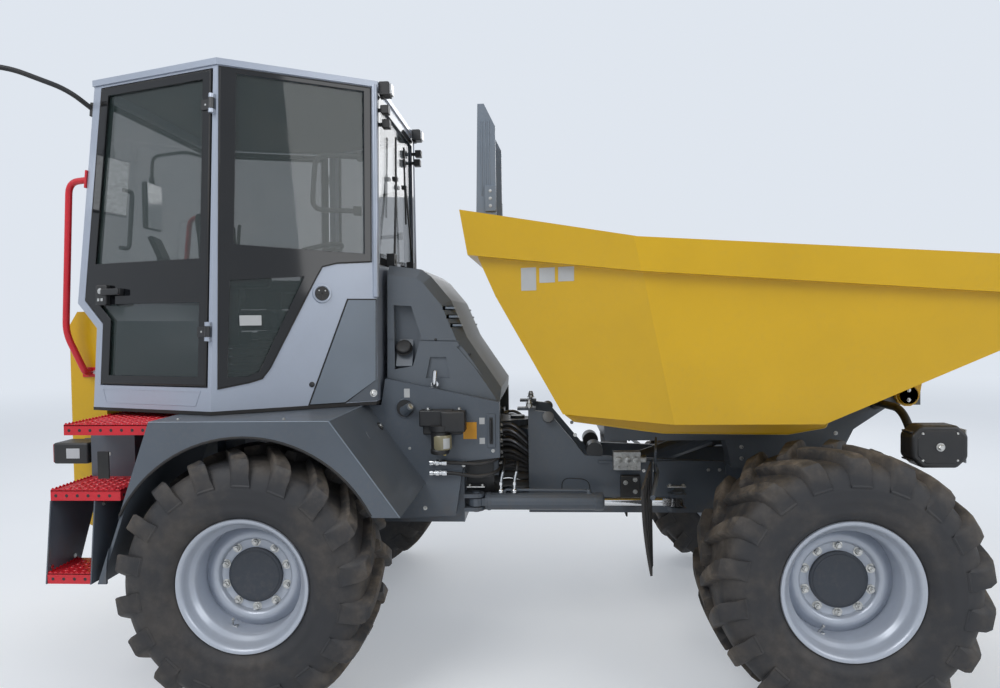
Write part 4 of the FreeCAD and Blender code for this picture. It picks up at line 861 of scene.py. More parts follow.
# hinge bolts on both leaves
shape = Shape()
for z in (2.760, 1.700):
    for dx in (0.030, 0.052):
        shape.bolt(BACK_SIDE.at(-0.206 - dx + (z - 1.7) * 0.024, z, 0.0055), BACK_SIDE.normal, 0.011)
shape.place("hinge_bolts", STEEL, "door_near", "bright_rod", far_body="door_far")

# grab rails
RAIL = [rear(-0.980, -0.670, 2.480), rear(-1.100, -0.645, 2.475), rear(-1.165, -0.610, 1.700), rear(-1.095, -0.565, 1.489),
        rear(-1.095, -0.520, 1.489)]
shape = Shape()
shape.pipe(RAIL, 0.060, 0.0168, 20)
shape.pad(RAIL[0] + Vector((0.004, 0, 0)), (0, -1, 0), (0.1, 0, 1), 0.052, 0.090, 0.010)
shape.pad(RAIL[-1] + Vector((0, 0.001, 0)), ALONG, UP, 0.080, 0.052, 0.010)
piece = shape.place("grab_rails.smooth", RED, "rear_frame", "red_paint", bevel=0.002, angle=40, both=True)
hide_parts("grab_rails")
shape = Shape()
for dz in (-0.032, 0.032):
    shape.bolt(RAIL[0] + Vector((-0.006, 0, dz)), (-1, 0, 0.1), 0.014)
for dx in (-0.028, 0.028):
    shape.bolt(RAIL[-1] + Vector((dx, -0.009, 0)), OUT, 0.014)
shape.place("grab_rail_bolts", STEEL, "rear_frame", "bright_rod", both=True)

# mirrors on their long arms
shape = Shape()
arm_foot = rear(-0.939, -0.648, 2.835)
shape.pipe([arm_foot + Vector((-0.012, 0, 0)), rear(-1.010, -0.770, 2.905), rear(-1.230, -0.880, 2.984),
            rear(-1.545, -0.990, 2.984), rear(-1.560, -1.000, 2.760)], 0.070, 0.0125, 16)
shape.pad(rear(-0.9395, -0.645, 2.835), (0, -1, 0), (0.1, 0, 1), 0.050, 0.070, 0.024)
shape.lathe([(0, 0.021), (0.05, 0.021), (0.06, 0.014)], rear(-1.5585, -0.999, 2.775), (0.02, 0.01, 1), 24)
shape.pad(rear(-1.5895, -1.0, 2.613), (0, -1, 0), (0, 0, 1), 0.150, 0.270, -0.020)
piece = shape.place("mirror_arms", BLACK, "rear_frame", "black_plastic", bevel=0.003, both=True)
shape = Shape()
shape.box(rear(-1.586, -1.109, 2.441), rear(-1.540, -0.891, 2.789))
shape.place("mirror_heads", BLACK, "rear_frame", "black_plastic", bevel=0.021, segments=5, both=True)
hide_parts("mirrors")
shape = Shape()
shape.box(rear(-1.542, -1.098, 2.452), rear(-1.5365, -0.902, 2.778))
shape.place("mirror_faces", MIRROR, "rear_frame", "bright_rod", bevel=0.002, both=True)

# work lamps on the roof's front edge
shape = Shape()
shape.box(rear(0.4915, -0.515, 2.912), rear(0.545, -0.435, 2.978))
for y in (-0.505, -0.490, -0.475, -0.460, -0.445):
    shape.box(rear(0.4915, y - 0.002, 2.918), rear(0.5385, y + 0.002, 2.983))
shape.box(rear(0.4915, -0.495, 2.902), rear(0.512, -0.455, 2.914))
piece = shape.place("work_lamp_heads", BLACK, "rear_frame", "black_plastic", bevel=0.003, both=True)
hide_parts("work_lamps")
shape = Shape()
shape.box(rear(0.544, -0.509, 2.918), rear(0.5565, -0.441, 2.972))
shape.place("work_lamp_lenses", CLEAR_LENS, "rear_frame", "tinted_glass", bevel=0.004, segments=3, both=True)
shape = Shape()
for z, x, y in ((2.835, 0.476, -0.500), (2.770, 0.474, -0.470)):
    shape.box(rear(x, y - 0.006, z - 0.010), rear(x + 0.030, y + 0.006, z + 0.010))
    shape.box(rear(x + 0.026, y - 0.026, z - 0.022), rear(x + 0.066, y + 0.026, z + 0.022))
shape.place("small_lamps", BLACK, "rear_frame", "black_plastic", bevel=0.004, segments=3, both=True)

# wipers with a motor housing, arm and blade
shape = Shape()
for side in (-1, 1):
    shape.box(rear(0.4765, side * 0.290 - 0.040, 2.044), rear(0.520, side * 0.290 + 0.040, 2.110))
    low, high = rear(0.512, side * 0.290, 2.070), rear(0.500, side * 0.140, 2.550)
    for shift in (-0.010, 0.010):
        shape.rod(low + Vector((0, shift, 0)), high + Vector((0, shift, 0)), 0.0045, sides=10)
    shape.rod(rear(0.497, side * 0.150, 2.330), rear(0.497, side * 0.120, 2.790), 0.0060, sides=10)
    shape.box(rear(0.478, side * 0.135 - 0.018, 2.540), rear(0.508, side * 0.135 + 0.018, 2.562))
    shape.lathe([(0, 0.016), (0.018, 0.015), (0.021, 0.010)], rear(0.502, side * 0.290, 2.070), (1, 0, 0), 20)
piece = shape.place("wiper_sets", BLACK, "rear_frame", "black_plastic", bevel=0.002)
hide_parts("wipers")


# Engine hood and side panels

HOOD_Y, PANEL_Y, PLATE_Y, SUPPORT_Y = 0.465, 0.520, 0.250, 0.420


def on_side(x, z, y, out=0.0):
    """A point on a near side face: distance ahead of the rear axle, height, and how far out the face lies."""
    return rear(x, -(y + out), z)


shape = Shape()
shape.prism([rear(0.543, -0.404, 1.646), rear(0.543, -0.404, 1.500), rear(0.543, -0.462, 1.500)], (0.092, 0, 0))
shape.place("filler_seat", HOOD, "rear_frame", "hood_paint", bevel=0.004, both=True)
shape = Shape()
at, way = rear(0.588, -0.428, 1.582), Vector((0, -0.78, 0.63))
shape.lathe([(0, 0.034), (0.016, 0.034), (0.018, 0.043), (0.040, 0.043), (0.047, 0.037), (0.049, 0.020)], at, way, 12)
shape.lathe([(0, 0.043), (0.004, 0.046), (0.008, 0.043)], at + way * 0.014, way, 40)
shape.place("filler_cap", BLACK, "rear_frame", "black_plastic", bevel=0.002, both=True)
shape = Shape()
shape.pipe([rear(0.752, -0.4655, 1.404), rear(0.752, -0.499, 1.404), rear(0.760, -0.501, 1.476)], 0.014, 0.0128, 20)
shape.ring(rear(0.760, -0.501, 1.476), (0, 0, 1), 0.0118, 0.0022, 32, 8)
shape.lathe([(0, 0.020), (0.007, 0.020), (0.009, 0.016)], rear(0.752, -0.4655, 1.404), OUT, 24)
piece = shape.place("exhaust_stub.smooth", CHROME, "rear_frame", "bright_rod", angle=50)
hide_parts("exhaust_stub")
shape = Shape()
for z in (1.806, 1.760, 1.714):
    x = 0.800 + (1.806 - z) * 0.41
    shape.prism([rear(x + 0.012, -0.395, z - 0.006), rear(x + 0.060, -0.395, z - 0.006), rear(x + 0.060, -0.448, z - 0.006),
                 rear(x + 0.012, -0.452, z - 0.006)], (0, 0, 0.012))
shape.place("louvre_blades", TRIM, "rear_frame", "hood_paint", bevel=0.002, both=True)
shape = Shape()
for x, z, y in ((0.940, 1.560, HOOD_Y), (0.560, 1.960, HOOD_Y - 0.004), (0.760, 1.640, HOOD_Y)):
    shape.dome(on_side(x, z, y), OUT, 0.007, 0.003, 16)
shape.place("hood_rivets", BLACK, "rear_frame", "black_plastic", both=True)

# fixings on the side panel: x, z, head width
shape = Shape()
for x, z, size in ((0.623, 1.074, 0.010), (0.150, 1.275, 0.014),
                   (1.060, 1.060, 0.012), (0.905, 0.985, 0.012), (0.700, 0.760, 0.014), (0.560, 0.760, 0.014)):
    shape.bolt(on_side(x, z, PANEL_Y), OUT, size)
for x in (0.731, 0.892):
    shape.bolt(rear(x, -0.570, 1.2825), UP, 0.016)
shape.bolt(FRONT_SIDE.at(0.452, 1.372, 0.004), FRONT_SIDE.normal, 0.024)
SLOPE = Vector((1.385, 0, 1)).normalized()
shape.bolt(rear(0.4814, -0.5809, 1.1983), SLOPE, 0.020)
shape.place("panel_bolts", STEEL, "rear_frame", "bright_rod", both=True)
shape = Shape()
shape.ring(rear(0.4814, -0.5809, 1.1983) + SLOPE * 0.002, SLOPE, 0.020, 0.004, 36, 10)
shape.lathe([(0, 0.047), (0.0012, 0.047), (0.0016, 0.040)], on_side(0.602, 1.284, PANEL_Y), OUT, 40)
shape.place("panel_rings", BLACK, "rear_frame", "black_plastic", both=True)
shape = Shape()
shape.lathe([(0, 0.024), (0.002, 0.023)], rear(0.4860, -0.8317, 1.1918), SLOPE, 28)
shape.lathe([(0, 0.030), (0.045, 0.024), (0.060, 0.0225), (0.062, 0.018)], on_side(0.600, 1.268, PANEL_Y),
            (0.62, -0.60, 0.50), 32)
shape.ring(on_side(0.602, 1.284, PANEL_Y, 0.001), OUT, 0.048, 0.004, 48, 10)
shape.place("panel_plugs", CHASSIS, "rear_frame", "chassis_paint", both=True)
shape = Shape()
tip = on_side(0.600, 1.268, PANEL_Y) + Vector((0.62, -0.60, 0.50)).normalized() * 0.0615
shape.lathe([(0, 0.0155), (0.003, 0.015), (0.004, 0.010), (0.001, 0.009)], tip, (0.62, -0.60, 0.50), 28)
shape.place("filler_socket", STEEL, "rear_frame", "bright_rod", both=True)
# blank labels: x, z, width, height
for name, finish, labels in (
        ("blank_labels", LABEL_WHITE, ((0.613, 1.364, 0.030, 0.046), (1.004, 1.216, 0.028, 0.034), (1.004, 1.112, 0.028, 0.032))),
        ("amber_labels", LABEL_AMBER, ((0.941, 1.166, 0.070, 0.088),))):
    shape = Shape()
    for x, z, width, height in labels:
        shape.pad(on_side(x, z, PANEL_Y, 0.0002), ALONG, UP, width, height, 0.0008)
    shape.place(name, finish, "rear_frame", "cab_paint", both=(name == "blank_labels"))
shape = Shape()
shape.pad(on_side(1.052, 1.165, PANEL_Y), ALONG, UP, 0.044, 0.176, 0.006)
shape.place("catch_frames", CHASSIS, "rear_frame", "chassis_paint", bevel=0.012, segments=4, both=True)
shape = Shape()
shape.pad(on_side(1.052, 1.165, PANEL_Y, 0.0055), ALONG, UP, 0.018, 0.140, 0.0014)
shape.pipe([on_side(1.050, 1.222, PANEL_Y, 0.004), on_side(1.050, 1.215, PANEL_Y, 0.020),
            on_side(1.050, 1.115, PANEL_Y, 0.020), on_side(1.050, 1.108, PANEL_Y, 0.004)], 0.012, 0.0055, 12)
shape.place("catches", BLACK, "rear_frame", "black_plastic", both=True)

# fuel filter: head, element, clear bowl and drain
shape = Shape()
shape.box(rear(0.686, -0.592, 1.196), rear(0.862, -0.521, 1.2815))
shape.box(rear(0.800, -0.612, 1.170), rear(0.924, -0.521, 1.276))
shape.box(rear(0.700, -0.560, 1.150), rear(0.905, -0.521, 1.200))
shape.place("filter_head", BLACK, "rear_frame", "black_plastic", bevel=0.008, segments=3)
shape = Shape()
shape.lathe([(0, 0.030), (0.004, 0.046), (0.016, 0.050), (0.024, 0.0495), (0.030, 0.045), (0.115, 0.045), (0.122, 0.052),
             (0.150, 0.052)], rear(0.790, -0.572, 1.052), UP, 48)
piece = shape.place("filter_element", BLACK, "rear_frame", "black_plastic")
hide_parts("filter_unit")
shape = Shape()
shape.lathe([(0, 0.020), (0.002, 0.0475), (0.010, 0.0505), (0.070, 0.0505), (0.076, 0.0465)], rear(0.802, -0.575, 1.078), UP, 48)
shape.place("filter_bowl", BOWL, "rear_frame", "tinted_glass")
shape = Shape()
for i in range(6):
    a, b = (math.radians(-76 + 7 * (i + k)) for k in (0, 1))
    corners = [rear(0.802 + 0.0510 * math.cos(t), -0.575 + 0.0510 * math.sin(t), 1.088) for t in (a, b)]
    shape.prism([corners[0], corners[1], corners[1] * 1.0 + Vector((0, 0, 0.052)), corners[0] + Vector((0, 0, 0.052))],
                Vector((math.cos(a), math.sin(a), 0)) * 0.0006)
shape.place("bowl_label", LABEL_WHITE, "rear_frame", "cab_paint")
shape = Shape()
shape.lathe([(0, 0.006), (0.006, 0.010), (0.020, 0.010), (0.022, 0.006)], rear(0.815, -0.575, 1.046), UP, 16)
shape.place("drain_screw", BRASS, "rear_frame", "bright_rod")

# two quick couplers with their caps and hoses
shape = Shape()
for z in (1.004, 0.950):
    start = rear(0.729, -0.548, z)
    shape.lathe([(0, 0.009), (0.003, 0.0145), (0.020, 0.0145), (0.024, 0.011), (0.034, 0.011), (0.036, 0.016), (0.052, 0.016),
                 (0.054, 0.012), (0.066, 0.012), (0.068, 0.0155), (0.092, 0.0155), (0.095, 0.010)], start, ALONG, 32)
    shape.pad(rear(0.775, -0.521, z), ALONG, UP, 0.030, 0.026, 0.020)
shape.place("quick_couplers", CHROME, "rear_frame", "bright_rod", both=True)
for tag, z, low in (("upper", 1.004, 0.990), ("lower", 0.950, 0.925)):
    for side in (-1, 1):
        tube(f"coupler_hose_{tag}_{'near' if side < 0 else 'far'}",
             [rear(0.822, side * 0.548, z), rear(0.880, side * 0.550, z), rear(0.960, side * 0.546, low),
              rear(1.050, side * 0.538, low + 0.012), rear(1.088, side * 0.505, low + 0.030), rear(1.092, side * 0.460, low + 0.036)],
             0.0095, HOSE, "rear_frame")

# Joint between the frames: hoses, stops and the plate behind

for side in (-1, 1):
    tag = "near" if side < 0 else "far"
    # where each hose leaves the rear frame, how far out it bows, and how far it drops: y, z, bow, drop, radius
    for i, (y, z, bow, drop, radius) in enumerate((
            (0.285, 1.160, 0.012, 0.110, 0.0095), (0.312, 1.135, 0.014, 0.125, 0.0095), (0.290, 1.108, 0.010, 0.120, 0.0120),
            (0.318, 1.082, 0.012, 0.110, 0.0095), (0.292, 1.052, 0.008, 0.100, 0.0130), (0.316, 1.022, 0.010, 0.090, 0.0110),
            (0.288, 0.992, 0.008, 0.080, 0.0130), (0.314, 0.962, 0.010, 0.060, 0.0095), (0.250, 1.120, 0.006, 0.100, 0.0160),
            (0.250, 1.070, 0.006, 0.090, 0.0160), (0.250, 1.020, 0.006, 0.080, 0.0160), (0.250, 0.970, 0.006, 0.060, 0.0160),
            (0.262, 0.925, 0.006, 0.040, 0.0160), (0.262, 0.880, 0.004, 0.020, 0.0220), (0.262, 0.832, 0.004, 0.010, 0.0220))):
        start, end = rear(1.080, side * y, z), rear(1.262, side * 0.200, z - drop)
        points = [start, rear(1.110, side * y, z + 0.010), rear(1.150, side * (y + bow), z + 0.008),
                  rear(1.190, side * (y + bow * 0.4), z - drop * 0.22), rear(1.225, side * (0.210 + 0.2 * (y - 0.2)), z - drop * 0.60),
                  end]
        hose = tube(f"joint_hose_{tag}_{i + 1}", points, radius, BRAID if i in (0, 1, 3) else HOSE, None)
        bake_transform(hose)
shape = Shape()
shape.box(rear(0.880, -0.318, 0.700), rear(1.048, -0.310, 1.060))
shape.place("frame_web", FRAME_BLACK, "rear_frame", "chassis_paint", both=True)
shape = Shape()
for y, z in ((0.285, 1.160), (0.312, 1.135), (0.290, 1.108), (0.318, 1.082), (0.292, 1.052), (0.316, 1.022), (0.288, 0.992),
             (0.314, 0.962)):
    shape.lathe([(0, 0.014), (0.022, 0.014), (0.024, 0.012)], rear(1.076, -y, z), ALONG, 6)
shape.place("hose_ends", STEEL, "rear_frame", "bright_rod", both=True)
shape = Shape()
shape.box(rear(1.050, -0.370, 0.900), rear(1.078, -0.230, 1.190))
shape.place("hose_bulkhead", CHASSIS, "rear_frame", "chassis_paint", bevel=0.004, both=True)

shape = Shape()
stop = joint_point(0.074, -0.262, 1.252)
shape.rod(stop, stop + UP * 0.045, 0.011, sides=20)
shape.bolt(stop + UP * 0.006, UP, 0.030)
shape.bolt(stop + UP * 0.026, UP, 0.024)
shape.bolt(joint_point(0.326, -0.2505, 1.100), OUT, 0.014)
for x, z in ((0.596, 0.842), (0.596, 0.742), (0.648, 0.792), (0.648, 0.858)):
    shape.bolt(joint_point(x, -0.2865, z), OUT, 0.016)
for x, z in ((0.700, 0.900), (0.760, 0.900), (1.050, 0.905), (1.110, 0.905)):
    shape.bolt(joint_point(x, -0.2505, z), OUT, 0.012)
shape.place("front_frame_bolts", STEEL, "front_frame", "bright_rod", both=True)
shape = Shape()
shape.lathe([(0, 0.030), (0.020, 0.033), (0.034, 0.030), (0.038, 0.020)], joint_point(0.178, -0.2505, 1.195), (0, -1, 0.35), 28)
shape.place("rubber_stops", GREY_MOULDING, "front_frame", "flap_rubber", both=True)
# painted shade: the pressing in the front plate is outlined by thin black rods that stand for the shade along its edges
shape = Shape()
arch = rounded([joint_point(x, -0.2506, z) for x, z in ((0.250, 0.737), (0.250, 0.862), (0.404, 0.852), (0.404, 0.737))], 0.050, 8)
for start, end in zip(arch, arch[1:]):
    shape.rod(start, end, 0.0022, sides=8)
shape.place("plate_pressing_shade_lines", RUBBER, "front_frame", "chassis_paint", both=True)
shape = Shape()
shape.lathe([(0, 0), (0, 0.046), (0.114, 0.046), (0.114, 0)], joint_point(0.434, -0.130, 1.010), OUT, 40)
shape.place("cross_tube", FRAME_BLACK, "front_frame", "chassis_paint", both=True)
shape = Shape()
shape.box(joint_point(0.452, -0.264, 0.944), joint_point(1.020, -0.250, 0.957))
shape.place("beam_flange", CHASSIS, "front_frame", "chassis_paint", bevel=0.002, both=True)
shape = Shape()
low, high = joint_point(0.530, -0.311, 0.916), joint_point(0.676, -0.251, 1.014)
shape.box(low, high)
for x in (0.556, 0.603, 0.650):
    shape.lathe([(0, 0.017), (0.012, 0.017), (0.014, 0.012)], joint_point(x, -0.311, 0.972), OUT, 24)
    shape.bolt(joint_point(x, -0.311, 0.932), OUT, 0.012, washer=False)
shape.lathe([(0, 0.020), (0.030, 0.020), (0.034, 0.014)], joint_point(0.676, -0.281, 0.972), ALONG, 24)
piece = shape.place("valve_body", CAST_BRIGHT, "front_frame", "cast_block", bevel=0.005, segments=3)
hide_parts("valve_block")
shape = Shape()
shape.box(joint_point(0.570, -0.286, 0.711), joint_point(0.678, -0.251, 0.880))
shape.place("black_plate", BLACK, "front_frame", "black_plastic", bevel=0.006, segments=3)

# steering cylinders: gland, collar, hard pipe, elbows and grease pins
CYLINDER_Y, CYLINDER_Z = -0.430, 0.775
shape = Shape()
shape.lathe([(0, 0.0455), (0.002, 0.0475), (0.040, 0.0475), (0.044, 0.0455), (0.046, 0.036), (0.050, 0.030)],
            joint_point(0.418, CYLINDER_Y, CYLINDER_Z), ALONG, 48)
shape.lathe([(0, 0.0455), (0.003, 0.048), (0.016, 0.048), (0.020, 0.0455)], joint_point(-0.150, CYLINDER_Y, CYLINDER_Z), ALONG, 48)
shape.pipe([joint_point(-0.060, CYLINDER_Y, 0.818), joint_point(-0.055, CYLINDER_Y, 0.836), joint_point(0.375, CYLINDER_Y, 0.832),
            joint_point(0.388, CYLINDER_Y, 0.812)], 0.014, 0.0075, 14)
shape.lathe([(0, 0.013), (0.014, 0.015), (0.024, 0.010)], joint_point(0.388, CYLINDER_Y, 0.814), UP, 24)
shape.box(joint_point(0.372, CYLINDER_Y - 0.014, 0.808), joint_point(0.402, CYLINDER_Y + 0.014, 0.822))
shape.place("cylinder_fittings", CHASSIS, "steer_barrel_near", "chassis_paint", far_body="steer_barrel_far")
shape = Shape()
for x in (-0.078, -0.006):
    foot = joint_point(x, CYLINDER_Y - 0.010, 0.834)
    shape.dome(foot + Vector((0, 0, -0.004)), OUT, 0.016, 0.014, 20)
    shape.pipe([foot, foot + Vector((0.002, 0, 0.060)), foot + Vector((0.012, 0.010, 0.098))], 0.020, 0.0095, 16)
    shape.lathe([(0, 0.0125), (0.016, 0.0125), (0.018, 0.010)], foot + Vector((0.001, 0, 0.030)), UP, 6)
shape.place("cylinder_elbows", CHROME, "steer_barrel_near", "bright_rod", far_body="steer_barrel_far")
shape = Shape()
pin = joint_point(-0.210, CYLINDER_Y, 0.0)
shape.box(pin + Vector((-0.048, -0.016, 0.8505)), pin + Vector((0.048, 0.016, 0.8575)))
shape.bolt(pin + Vector((-0.034, 0, 0.857)), UP, 0.016)
shape.bolt(pin + Vector((0.034, 0, 0.857)), UP, 0.016)
shape.place("rear_pin_keepers", STEEL, "rear_frame", "bright_rod", bevel=0.002, both=True)
shape = Shape()
pin = joint_point(0.845, CYLINDER_Y, 0.0)
shape.box(pin + Vector((-0.048, -0.016, 0.8505)), pin + Vector((0.048, 0.016, 0.8575)))
shape.bolt(pin + Vector((-0.034, 0, 0.857)), UP, 0.016)
shape.bolt(pin + Vector((0.034, 0, 0.857)), UP, 0.016)
shape.place("front_pin_keepers", STEEL, "front_frame", "bright_rod", bevel=0.002, both=True)
for tag, side in (("near", -1), ("far", 1)):
    for i, x in enumerate((-0.066, 0.006)):
        start, end = joint_point(x, side * 0.430, 0.930), rear(1.074, side * 0.350, 0.975 - 0.030 * i)
        hose = tube(f"cylinder_hose_{tag}_{i + 1}",
                    [start, joint_point(x + 0.004, side * 0.426, 0.958), joint_point(x + 0.008, side * 0.404, 0.992 - 0.012 * i),
                     joint_point(x, side * 0.372, 0.994 - 0.020 * i), end], 0.0095, HOSE, None)
        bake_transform(hose)


# Lamps, steps and mudguards

shape = Shape()
octagon = [(0.397, 1.054), (0.551, 1.054), (0.596, 1.099), (0.596, 1.199), (0.551, 1.244), (0.397, 1.244), (0.352, 1.199),
           (0.352, 1.099)]
shape.prism([front(x, -0.958, z) for x, z in octagon], (0, 0.116, 0))
piece = shape.place("headlamp_shells", BLACK, "front_frame", "black_plastic", bevel=0.014, segments=4, both=True)
shape = Shape()
shape.prism([front(0.474 + (x - 0.474) * 0.80, -0.9595, 1.149 + (z - 1.149) * 0.78) for x, z in octagon], (0, 0.010, 0))
for z in (1.086, 1.118, 1.180, 1.212):
    shape.box(front(0.352, -0.940, z - 0.004), front(0.372, -0.860, z + 0.004))
shape.pipe([front(0.430, -0.420, 1.290), front(0.430, -0.700, 1.290), front(0.440, -0.800, 1.150), front(0.440, -0.845, 1.150)],
           0.080, 0.0195, 20)
shape.lathe([(0, 0.036), (0.012, 0.036), (0.016, 0.028)], front(0.430, -0.4205, 1.290), OUT, 28)
shape.lathe([(0, 0.040), (0.014, 0.036), (0.020, 0.028)], front(0.440, -0.842, 1.150), (0, 1, 0), 28)
arms = shape.place("headlamp_arms", BLACK, "front_frame", "black_plastic", bevel=0.003, both=True)
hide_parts("headlamps")
shape = Shape()
shape.box(front(0.590, -0.944, 1.074), front(0.5955, -0.856, 1.224))
shape.place("headlamp_lenses", CLEAR_LENS, "front_frame", "tinted_glass", bevel=0.002, both=True)
shape = Shape()
shape.bolt(front(0.474, -0.9590, 1.149), OUT, 0.024)
for x, z in ((0.400, 1.090), (0.548, 1.090), (0.400, 1.208), (0.548, 1.208)):
    shape.bolt(front(x, -0.9575, z), OUT, 0.008)
shape.place("headlamp_bolts", STEEL, "front_frame", "bright_rod", both=True)

# each tread: x, x, y, y of its tray and the height of its top
TREADS = ((-0.837, -0.445, -1.130, -0.460, 1.288), (-0.884, -0.560, -1.165, -0.862, 1.000),
          (-0.8775, -0.6805, -1.210, -0.990, 0.640))
# painted shade: the grip holes are closed by thin black discs that stand for the shade inside them
shape, holes = Shape(), Shape()
for x0, x1, y0, y1, top in TREADS:
    columns, rows = int((x1 - x0 - 0.03) / 0.042), int((y1 - y0 - 0.03) / 0.042)
    for i in range(columns):
        for j in range(rows):
            at = rear((x0 + x1) / 2 + (i - (columns - 1) / 2) * 0.042, (y0 + y1) / 2 + (j - (rows - 1) / 2) * 0.042, top)
            shape.lathe([(0, 0.0125), (0.0035, 0.0105), (0.0040, 0.0085), (0.0012, 0.0075)], at, UP, 12)
            holes.lathe([(0.0011, 0.0073), (0.0016, 0.0065)], at, UP, 10)
    for start, end, inward in (((x0, y0), (x1, y0), (0, 1)), ((x0, y0), (x0, y1), (1, 0)), ((x1, y0), (x1, y1), (-1, 0))):
        a, b = rear(*start, top), rear(*end, top)
        teeth = int((b - a).length / 0.024)
        step = (b - a) / teeth
        saw = [a + Vector((0, 0, -0.004))]
        for k in range(teeth):
            saw += [a + step * k + UP * 0.0005, a + step * (k + 0.5) + UP * 0.009]
        saw += [b + UP * 0.0005, b + Vector((0, 0, -0.004))]
        shape.prism(saw, Vector((*inward, 0)) * 0.004)
        side = Vector((-inward[0], -inward[1], 0))
        for k in range(1, teeth, 2):
            holes.lathe([(0, 0.0075), (0.0006, 0.0070)], a + step * k + Vector((0, 0, -0.024)), side, 12)
shape.place("tread_grips", RED, "rear_frame", "red_paint", both=True)
holes.place("tread_hole_shade", BLACK, "rear_frame", "black_plastic", both=True)
shape = Shape()
for x, y, z in ((-0.870, -1.130, 0.930), (-0.870, -0.900, 0.930), (-0.700, -1.110, 0.930), (-0.860, -1.180, 0.660),
                (-0.860, -1.020, 0.660)):
    shape.bolt(rear(x - 0.0145 if x < -0.8 else x + 0.0270, y, z), (-1 if x < -0.8 else 1, 0, 0), 0.014)
for x in (-0.620, -0.300, 0.180):
    shape.bolt(rear(x, -1.140, 1.3115 if x > -0.4 else 1.16), UP if x > -0.4 else OUT, 0.010)
shape.place("step_bolts", STEEL, "rear_frame", "bright_rod", both=True)
shape = Shape()
shape.prism([rear(-0.640, y, z) for y, z in ((-1.1985, 1.180), (-1.1985, 1.060), (-1.190, 1.060), (-1.190, 1.180))], (0.050, 0, 0))
arch = [rear(0.015 + 0.630 * math.cos(t), -1.1975, 0.610 + 0.630 * math.sin(t)) for t in
        (math.radians(27 + 126 * i / 30) for i in range(31))]
shape.pipe(arch, 0.001, 0.0065, 10)
shape.place("arch_edging", RUBBER, "rear_frame", "flap_rubber", both=True)
# painted highlight: thin light grey bars along the mudguard's folds stand for the light caught on the folds
shape = Shape()
fold = [rear(-0.404, -1.1995, 1.3090), rear(0.399, -1.1995, 1.3090), rear(0.702, -1.1995, 0.8920)]
shape.pipe(fold, 0.004, 0.0028, 8)
shape.pipe([rear(0.400, -1.190, 1.3105), rear(0.400, -0.530, 1.3105)], 0.01, 0.0028, 8)
shape.place("guard_fold_highlights", TRIM, "rear_frame", "chassis_paint", both=True)

# rear lamps
shape = Shape()
shape.box(rear(-1.144, -0.768, 1.042), rear(-0.962, -0.622, 1.148))
lamp = shape.place("rear_lamp_shells", BLACK, "rear_frame", "black_plastic", bevel=0.010, segments=3, both=True)
shape = Shape()
shape.box(rear(-1.118, -0.624, 1.074), rear(-1.062, -0.5205, 1.116))
shape.pad(rear(-1.090, -0.5205, 1.095), ALONG, UP, 0.090, 0.080, 0.008)
shape.bolt(rear(-1.124, -0.5285, 1.095), OUT, 0.012)
shape.bolt(rear(-1.056, -0.5285, 1.095), OUT, 0.012)
piece = shape.place("rear_lamp_brackets", CHASSIS, "rear_frame", "chassis_paint", bevel=0.002, both=True)
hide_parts("rear_lamps")
for name, finish, y0, y1 in (("red", RED_LENS, -0.762, -0.718), ("amber", AMBER_LENS, -0.716, -0.672),
                             ("clear", CLEAR_LENS, -0.670, -0.628)):
    shape = Shape()
    shape.box(rear(-1.1495, y0, 1.048), rear(-1.140, y1, 1.142))
    shape.place(f"rear_lens_{name}", finish, "rear_frame", "tinted_glass", bevel=0.004, segments=3, both=True)
shape = Shape()
shape.box(rear(-1.075, -0.7700, 1.070), rear(-1.005, -0.7650, 1.120))
shape.place("side_reflectors", CLEAR_LENS, "rear_frame", "tinted_glass", bevel=0.0015, both=True)

# back cover: grille, catch, hinges and towing jaw
shape = Shape()
for i in range(13):
    z = 0.960 + i * 0.045
    shape.prism([rear(-1.2042, -0.340, z), rear(-1.2042, -0.340, z + 0.026), rear(-1.2075 + 0.004, -0.340, z + 0.030)],
                (0, 0.680, 0))
shape.pad(rear(-1.2045, 0.0, 1.240), (0, -1, 0), UP, 0.720, 0.640, 0.0006)
shape.place("back_grille", BLACK, "rear_frame", "black_plastic")
shape = Shape()
for i in range(14):
    shape.prism([rear(-1.2044, -0.350, 0.948 + i * 0.045), rear(-1.2112 + 0.0062, -0.350, 0.944 + i * 0.045),
                 rear(-1.2044, -0.350, 0.934 + i * 0.045)], (0, 0.700, 0))
shape.place("back_louvres", YELLOW, "rear_frame", "yellow_paint")
shape = Shape()
shape.pad(rear(-1.2046, 0.0, 1.640), (0, -1, 0), UP, 0.110, 0.060, 0.0004)
shape.box(rear(-1.208, -0.030, 1.630), rear(-1.2046, 0.030, 1.650))
for y in (-0.400, 0.400):
    shape.rod(rear(-1.100, y - 0.045, 1.8135), rear(-1.100, y + 0.045, 1.8135), 0.010, sides=16)
shape.place("back_catch", STEEL, "rear_frame", "bright_rod", bevel=0.002)
shape = Shape()
for y in (-0.080, 0.080):
    shape.box(rear(-1.205, y - 0.012, 0.700), rear(-1.060, y + 0.012, 0.860))
shape.rod(rear(-1.150, -0.0, 0.690), rear(-1.150, 0.0, 0.872), 0.020, sides=24)
shape.box(rear(-1.205, -0.092, 0.845), rear(-1.060, 0.092, 0.862))
shape.box(rear(-1.205, -0.092, 0.700), rear(-1.060, 0.092, 0.717))
shape.place("towing_jaw", CHASSIS, "rear_frame", "chassis_paint", bevel=0.004)

